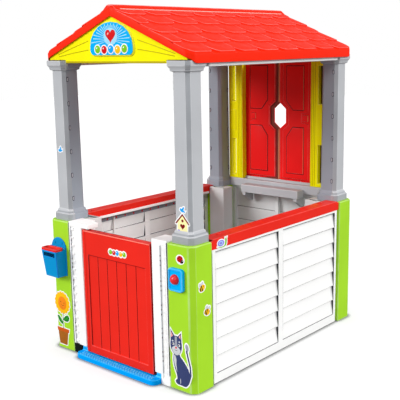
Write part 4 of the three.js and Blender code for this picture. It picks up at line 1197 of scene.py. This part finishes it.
# Down each jamb a dark seam, a grey line at the groove's edge and dark notches, and on each side
# panel a dark seam by the post: painted shade in gaps and holes.
for side, way in SIDES:
    on_jamb, name, edge = facing(1, JAMB_LOW.y, -1), f"jamb_{side}", CHANNEL_EDGE[side]
    seam = [(way * u, v) for u, v in rounded(JAMB_OUTER - 3.6, JAMB_OUTER - 0.2, 42, 554, 0.5)]
    relief(name + "_seam", on_jamb, [seam], 0.15, 0.05, PAINTED_GAP_SHADE, foot=2.6)
    channel = rounded(edge - 1.2, edge + 0.8, 44, 538, 0.5)
    relief(name + "_channel_edge", on_jamb, [channel], 0.15, 0.05, SHADE_GREY, foot=2.0)
    notches = [rounded(edge - 1.6, edge + 1.4, level - 3, level + 3, 0.8) for level in NOTCHES]
    relief(name + "_notches", on_jamb, notches, 0.3, 0.1, PAINTED_GAP_SHADE, foot=2.0)
    seam = rounded(PANEL_FRONT + 0.2, PANEL_FRONT + 3.6, 4, 518, 0.5)
    on_panel = facing(0, way * PANEL_HIGH.x, way)
    relief(f"side_panel_{side}_seam", on_panel, [seam], 0.15, 0.05, PAINTED_GAP_SHADE, foot=2.6)

# The side rails' inner ledges, a grey strip under each that paints the shade of the gap there, and
# the clips seen in the gaps.
SHEET = surface("side_panel_right", (0, 0.05, 0.51), (1, 0, 0)).x
LEDGE_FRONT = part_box("corner_liner_front_right")[1].y / MM + 4
LEDGE_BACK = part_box("corner_liner_back_right")[0].y / MM - 4
CLIPS = [54 * i - 3 for i in range(-5, 7)]
ledge = rounded(LEDGE_FRONT, LEDGE_BACK, 522, 533, 1)
gap_shade = rounded(LEDGE_FRONT, LEDGE_BACK, 492, 520.6, 0.4)
clips = [rounded(middle - 4, middle + 4, 496, 504, 1) for middle in CLIPS]
for side, way in SIDES:
    name, on_sheet = f"side_rail_{side}", facing(0, way * SHEET, -way)
    relief(name + "_ledge", facing(0, way * RAIL_LOW.x, -way), [ledge], 3, 0.8, WHITE)
    relief(name + "_gap", on_sheet, [gap_shade], 0.3, 0.1, SHADE_GREY)
    relief(name + "_clips", on_sheet, clips, 1.5, 0.6, GATE_RED)

# A black pad under the hinge-side jamb: painted shade for the dark hollow between the post and the
# step.
pad = rounded(0.5 - JAMB_OUTER, STEP_LOW.x - 0.5, JAMB_LOW.y / MM + 1, JAMB_HIGH.y / MM - 6, 2, 3)
relief("jamb_pad", facing(2, 0.0, 1), [pad], 39.6, 1.5, PAD_SHADE, foot=-0.5)

# The gate's face carried on over its rounded hinge edge. It stays inside the circle that clears
# the jamb as the gate swings.
HINGE_EDGE, GATE_FOOT, GATE_TOP = GATE_LOW.x / MM, GATE_LOW.z / MM, GATE_HIGH.z / MM
lip = rounded(HINGE_EDGE + 0.3, HINGE_EDGE + 16, GATE_FOOT + 1, GATE_TOP - 1, 1)
on_lip = facing(1, GATE_LOW.y + 0.3 * MM, -1)
relief("gate_lip", on_lip, [lip], 0.3, 0.3, GATE_RED, "gate", foot=3.6)

# Lines on the gate: a dark one over the planks, painted shade, and a pale one near its top edge, a
# painted highlight.
on_gate = facing(1, GATE_LOW.y, -1)
over_planks = rounded(-160, 160, 437.6, 439.8, 0.5)
relief("gate_shade_line", on_gate, [over_planks], 0.3, 0.1, GATE_SHADE_LINE, "gate")
along_top = rounded(-184, 184, GATE_TOP - 5.1, GATE_TOP - 2.9, 0.5)
relief("gate_top_highlight", on_gate, [along_top], 0.8, 0.6, GATE_HIGHLIGHT, "gate", foot=2)

# A raised rim round the mailbox lid.
LID_LOW, LID_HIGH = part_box("mailbox_lid")
lid = rounded(LID_LOW.x + MM, LID_HIGH.x - MM, LID_LOW.y + MM, LID_HIGH.y - 10 * MM, 11 * MM, 6)
lid_rim = hoop(lid, 7 * MM, facing(2, LID_HIGH.z, 1), 2.2 * MM, 1.6 * MM, GATE_RED)
piece("mailbox_lid_rim", [lid_rim], "mailbox_lid")

# A bead along the edge where the two leaves meet, in a pale orange that paints a highlight.
on_strip = front_of("shutter_left", -8 * MM, 640 * MM)
beads = [rounded(-6.2, -1.7, low, high, 0.8) for low, high in BEAD_SPANS]
relief("shutter_left_bead", on_strip, beads, 2.4, 0.7, LEAF_HIGHLIGHT, "shutter_left")

# Snap tabs in the column seams, on the two faces that look into the house.
SHAFT = {"x": 329, "y": 482}  # the shafts' middle, from the middle of the roof
SHAFT_FOOT, SHAFT_HEAD = (601, 41.5), (1160, 40)  # height and half-width
TABS, FIRST_TAB, TAB_PITCH = 6, 645, 96
TAB_ACROSS, TAB_TALL, TAB_PLACE = 2.4, 7.2, 21.8  # half sizes, and the place across the shaft


def column_tab(level, facing_x, way_x, way_y):
    """A tab in its well, at a height, on the face across x or across y. The well is a dark plate,
    painted shade round the tab.
    """
    share = (level - SHAFT_FOOT[0]) / (SHAFT_HEAD[0] - SHAFT_FOOT[0])
    half = SHAFT_FOOT[1] + share * (SHAFT_HEAD[1] - SHAFT_FOOT[1])
    middle = SHAFT["y" if facing_x else "x"] + TAB_PLACE
    skin = (SHAFT["x" if facing_x else "y"] - half) * MM
    low, high = level - TAB_TALL, level + TAB_TALL
    tab = metres(rounded(middle - TAB_ACROSS, middle + TAB_ACROSS, low, high, 1.6, 3))

    def place(u, v, rise):
        x, y = (skin - rise, u) if facing_x else (u, skin - rise)
        return (way_x * x, ROOF_MIDDLE + way_y * y, v)

    shade_well = plate(inset(tab, -2.4 * MM), place, 0.9 * MM, 0.2 * MM, PAINTED_GAP_SHADE, 4 * MM)
    return shade_well, plate(tab, place, 2.2 * MM, 0.9 * MM, GREY, 4 * MM)


for corner in CORNERS:
    ways = (1 if "right" in corner else -1, 1 if "back" in corner else -1)
    shells = []
    for level in range(FIRST_TAB, FIRST_TAB + TABS * TAB_PITCH, TAB_PITCH):
        shells += [*column_tab(level, True, *ways), *column_tab(level, False, *ways)]
    piece(f"column_tabs_{corner}", shells)

# A bead along the ridge cap's lower edges, in a pale pink that paints a highlight.
RIDGE_LOW, RIDGE_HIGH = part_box("ridge_cap")
RIDGE_X, RIDGE_Z = RIDGE_HIGH.x - 3.4 * MM, RIDGE_HIGH.z - 17.4 * MM
CAP_IN, CAP_UP = 0.757, 0.654  # the cap's slope
for side, way in SIDES:
    bead = rounded(RIDGE_LOW.y / MM + 24, RIDGE_HIGH.y / MM - 24, -2.2, 2.2, 2.0, 4)

    def on_ridge(u, v, rise, way=way):
        """v runs down the cap's slope, from its lower edge."""
        out = RIDGE_X + CAP_IN * v + CAP_UP * rise
        return (way * out, u, RIDGE_Z - CAP_UP * v + CAP_IN * rise)

    relief(f"ridge_highlight_bead_{side}", on_ridge, [bead], 1.8, 1.5, HIGHLIGHT, foot=3)

# ---- Studio --------------------------------------------------------------------------------

FLOOR_REACH = 14.0
WORLD_LIGHT = 0.38  # the surround's strength where the camera doesn't see it
FLOOR_GLOW = 0.78
FLOOR_PAINTED_SHADOWS = ((24, 0.6, 0.95, 0.0), (160, 0.5, 0.98, 0.8))  # reach, openness from and to, darkest


def studio():
    """A white surround, a pale floor that glows for the camera, dimmed close to the house as a
    painted contact shadow, and four broad soft lights: on the gate side, on the right side, between
    them, and above."""
    world = bpy.data.worlds.new("studio")
    bpy.context.scene.world = world
    world.use_nodes = True
    tree = world.node_tree
    seen = added(tree, "LightPath", "Is Camera Ray", {})
    strength = ranged(tree, seen, 0.0, 1.0, WORLD_LIGHT, 1.0)
    fill(tree, tree.nodes["Background"], {"Color": PURE_WHITE, "Strength": strength})
    mesh = bpy.data.meshes.new("floor")
    low, high = -FLOOR_REACH, FLOOR_REACH
    corners = [(low, low, 0), (high, low, 0), (high, high, 0), (low, high, 0)]
    mesh.from_pydata(corners, [], [(0, 1, 2, 3)])
    floor = bpy.data.objects.new("floor", mesh)
    floor.location.z = -0.2 * MM
    paper = plastic("floor_look", (150, 150, 150), roughness=0.8, grain=0.0, mottle=0.01)
    tree = paper.node_tree
    seen = added(tree, "LightPath", "Is Camera Ray", {})
    glow = ranged(tree, seen, 0.0, 1.0, 0.0, FLOOR_GLOW)
    # Ambient occlusion dims the floor's glow near the house: a painted contact shadow.
    for reach, open_from, open_to, darkest in FLOOR_PAINTED_SHADOWS:
        near = added(tree, "AmbientOcclusion", "AO", {"Distance": reach * MM}, samples=8)
        open_air = ranged(tree, near, open_from, open_to, darkest, 1.0)
        glow = added(tree, "Math", 0, {0: glow, 1: open_air}, operation="MULTIPLY")
    light = {"Emission Color": PURE_WHITE, "Emission Strength": glow}
    fill(tree, tree.nodes["Principled BSDF"], light)
    mesh.materials.append(paper)
    bpy.context.scene.collection.objects.link(floor)
    lamp("gate_side", (-0.5, -0.78, 0.38), 2.0)
    lamp("right_side", (0.75, 0.45, 0.45), 2.15)
    lamp("between", (0.5, -0.7, 0.5), 0.8)
    lamp("above", (0.1, -0.3, 1.0), 0.4)


def lamp(name, towards, strength, spread=25):
    """A soft light that shines from a direction. spread is its width in degrees."""
    light = bpy.data.lights.new(name, "SUN")
    light.angle = math.radians(spread)
    light.energy = strength
    thing = bpy.data.objects.new(name, light)
    thing.rotation_mode = "QUATERNION"
    thing.rotation_quaternion = (-Vector(towards)).to_track_quat("-Z", "Y")
    thing.location = 3.0 * Vector(towards)
    bpy.context.scene.collection.objects.link(thing)


CAMERA_PLACE = Vector((2.13224, -2.45387, 1.24731))
CAMERA_YAW, CAMERA_PITCH, CAMERA_ROLL = (math.radians(a) for a in (41.21, 11.34, -1.03))
CAMERA_LENS = 69.27


def camera():
    """The camera stands off the gate's right, a little under the ridge, and looks slightly down."""
    data = bpy.data.cameras.new("camera")
    data.sensor_width = 36.0
    data.lens = CAMERA_LENS
    data.clip_end = 100.0
    thing = bpy.data.objects.new("camera", data)
    heading = Matrix.Rotation(CAMERA_YAW, 4, "Z")
    tilt = Matrix.Rotation(math.pi / 2 - CAMERA_PITCH, 4, "X")
    roll = Matrix.Rotation(CAMERA_ROLL, 4, "Z")
    thing.matrix_world = Matrix.Translation(CAMERA_PLACE) @ heading @ tilt @ roll
    bpy.context.scene.collection.objects.link(thing)
    bpy.context.scene.camera = thing


studio()
camera()
bpy.context.scene.view_settings.view_transform = "Standard"
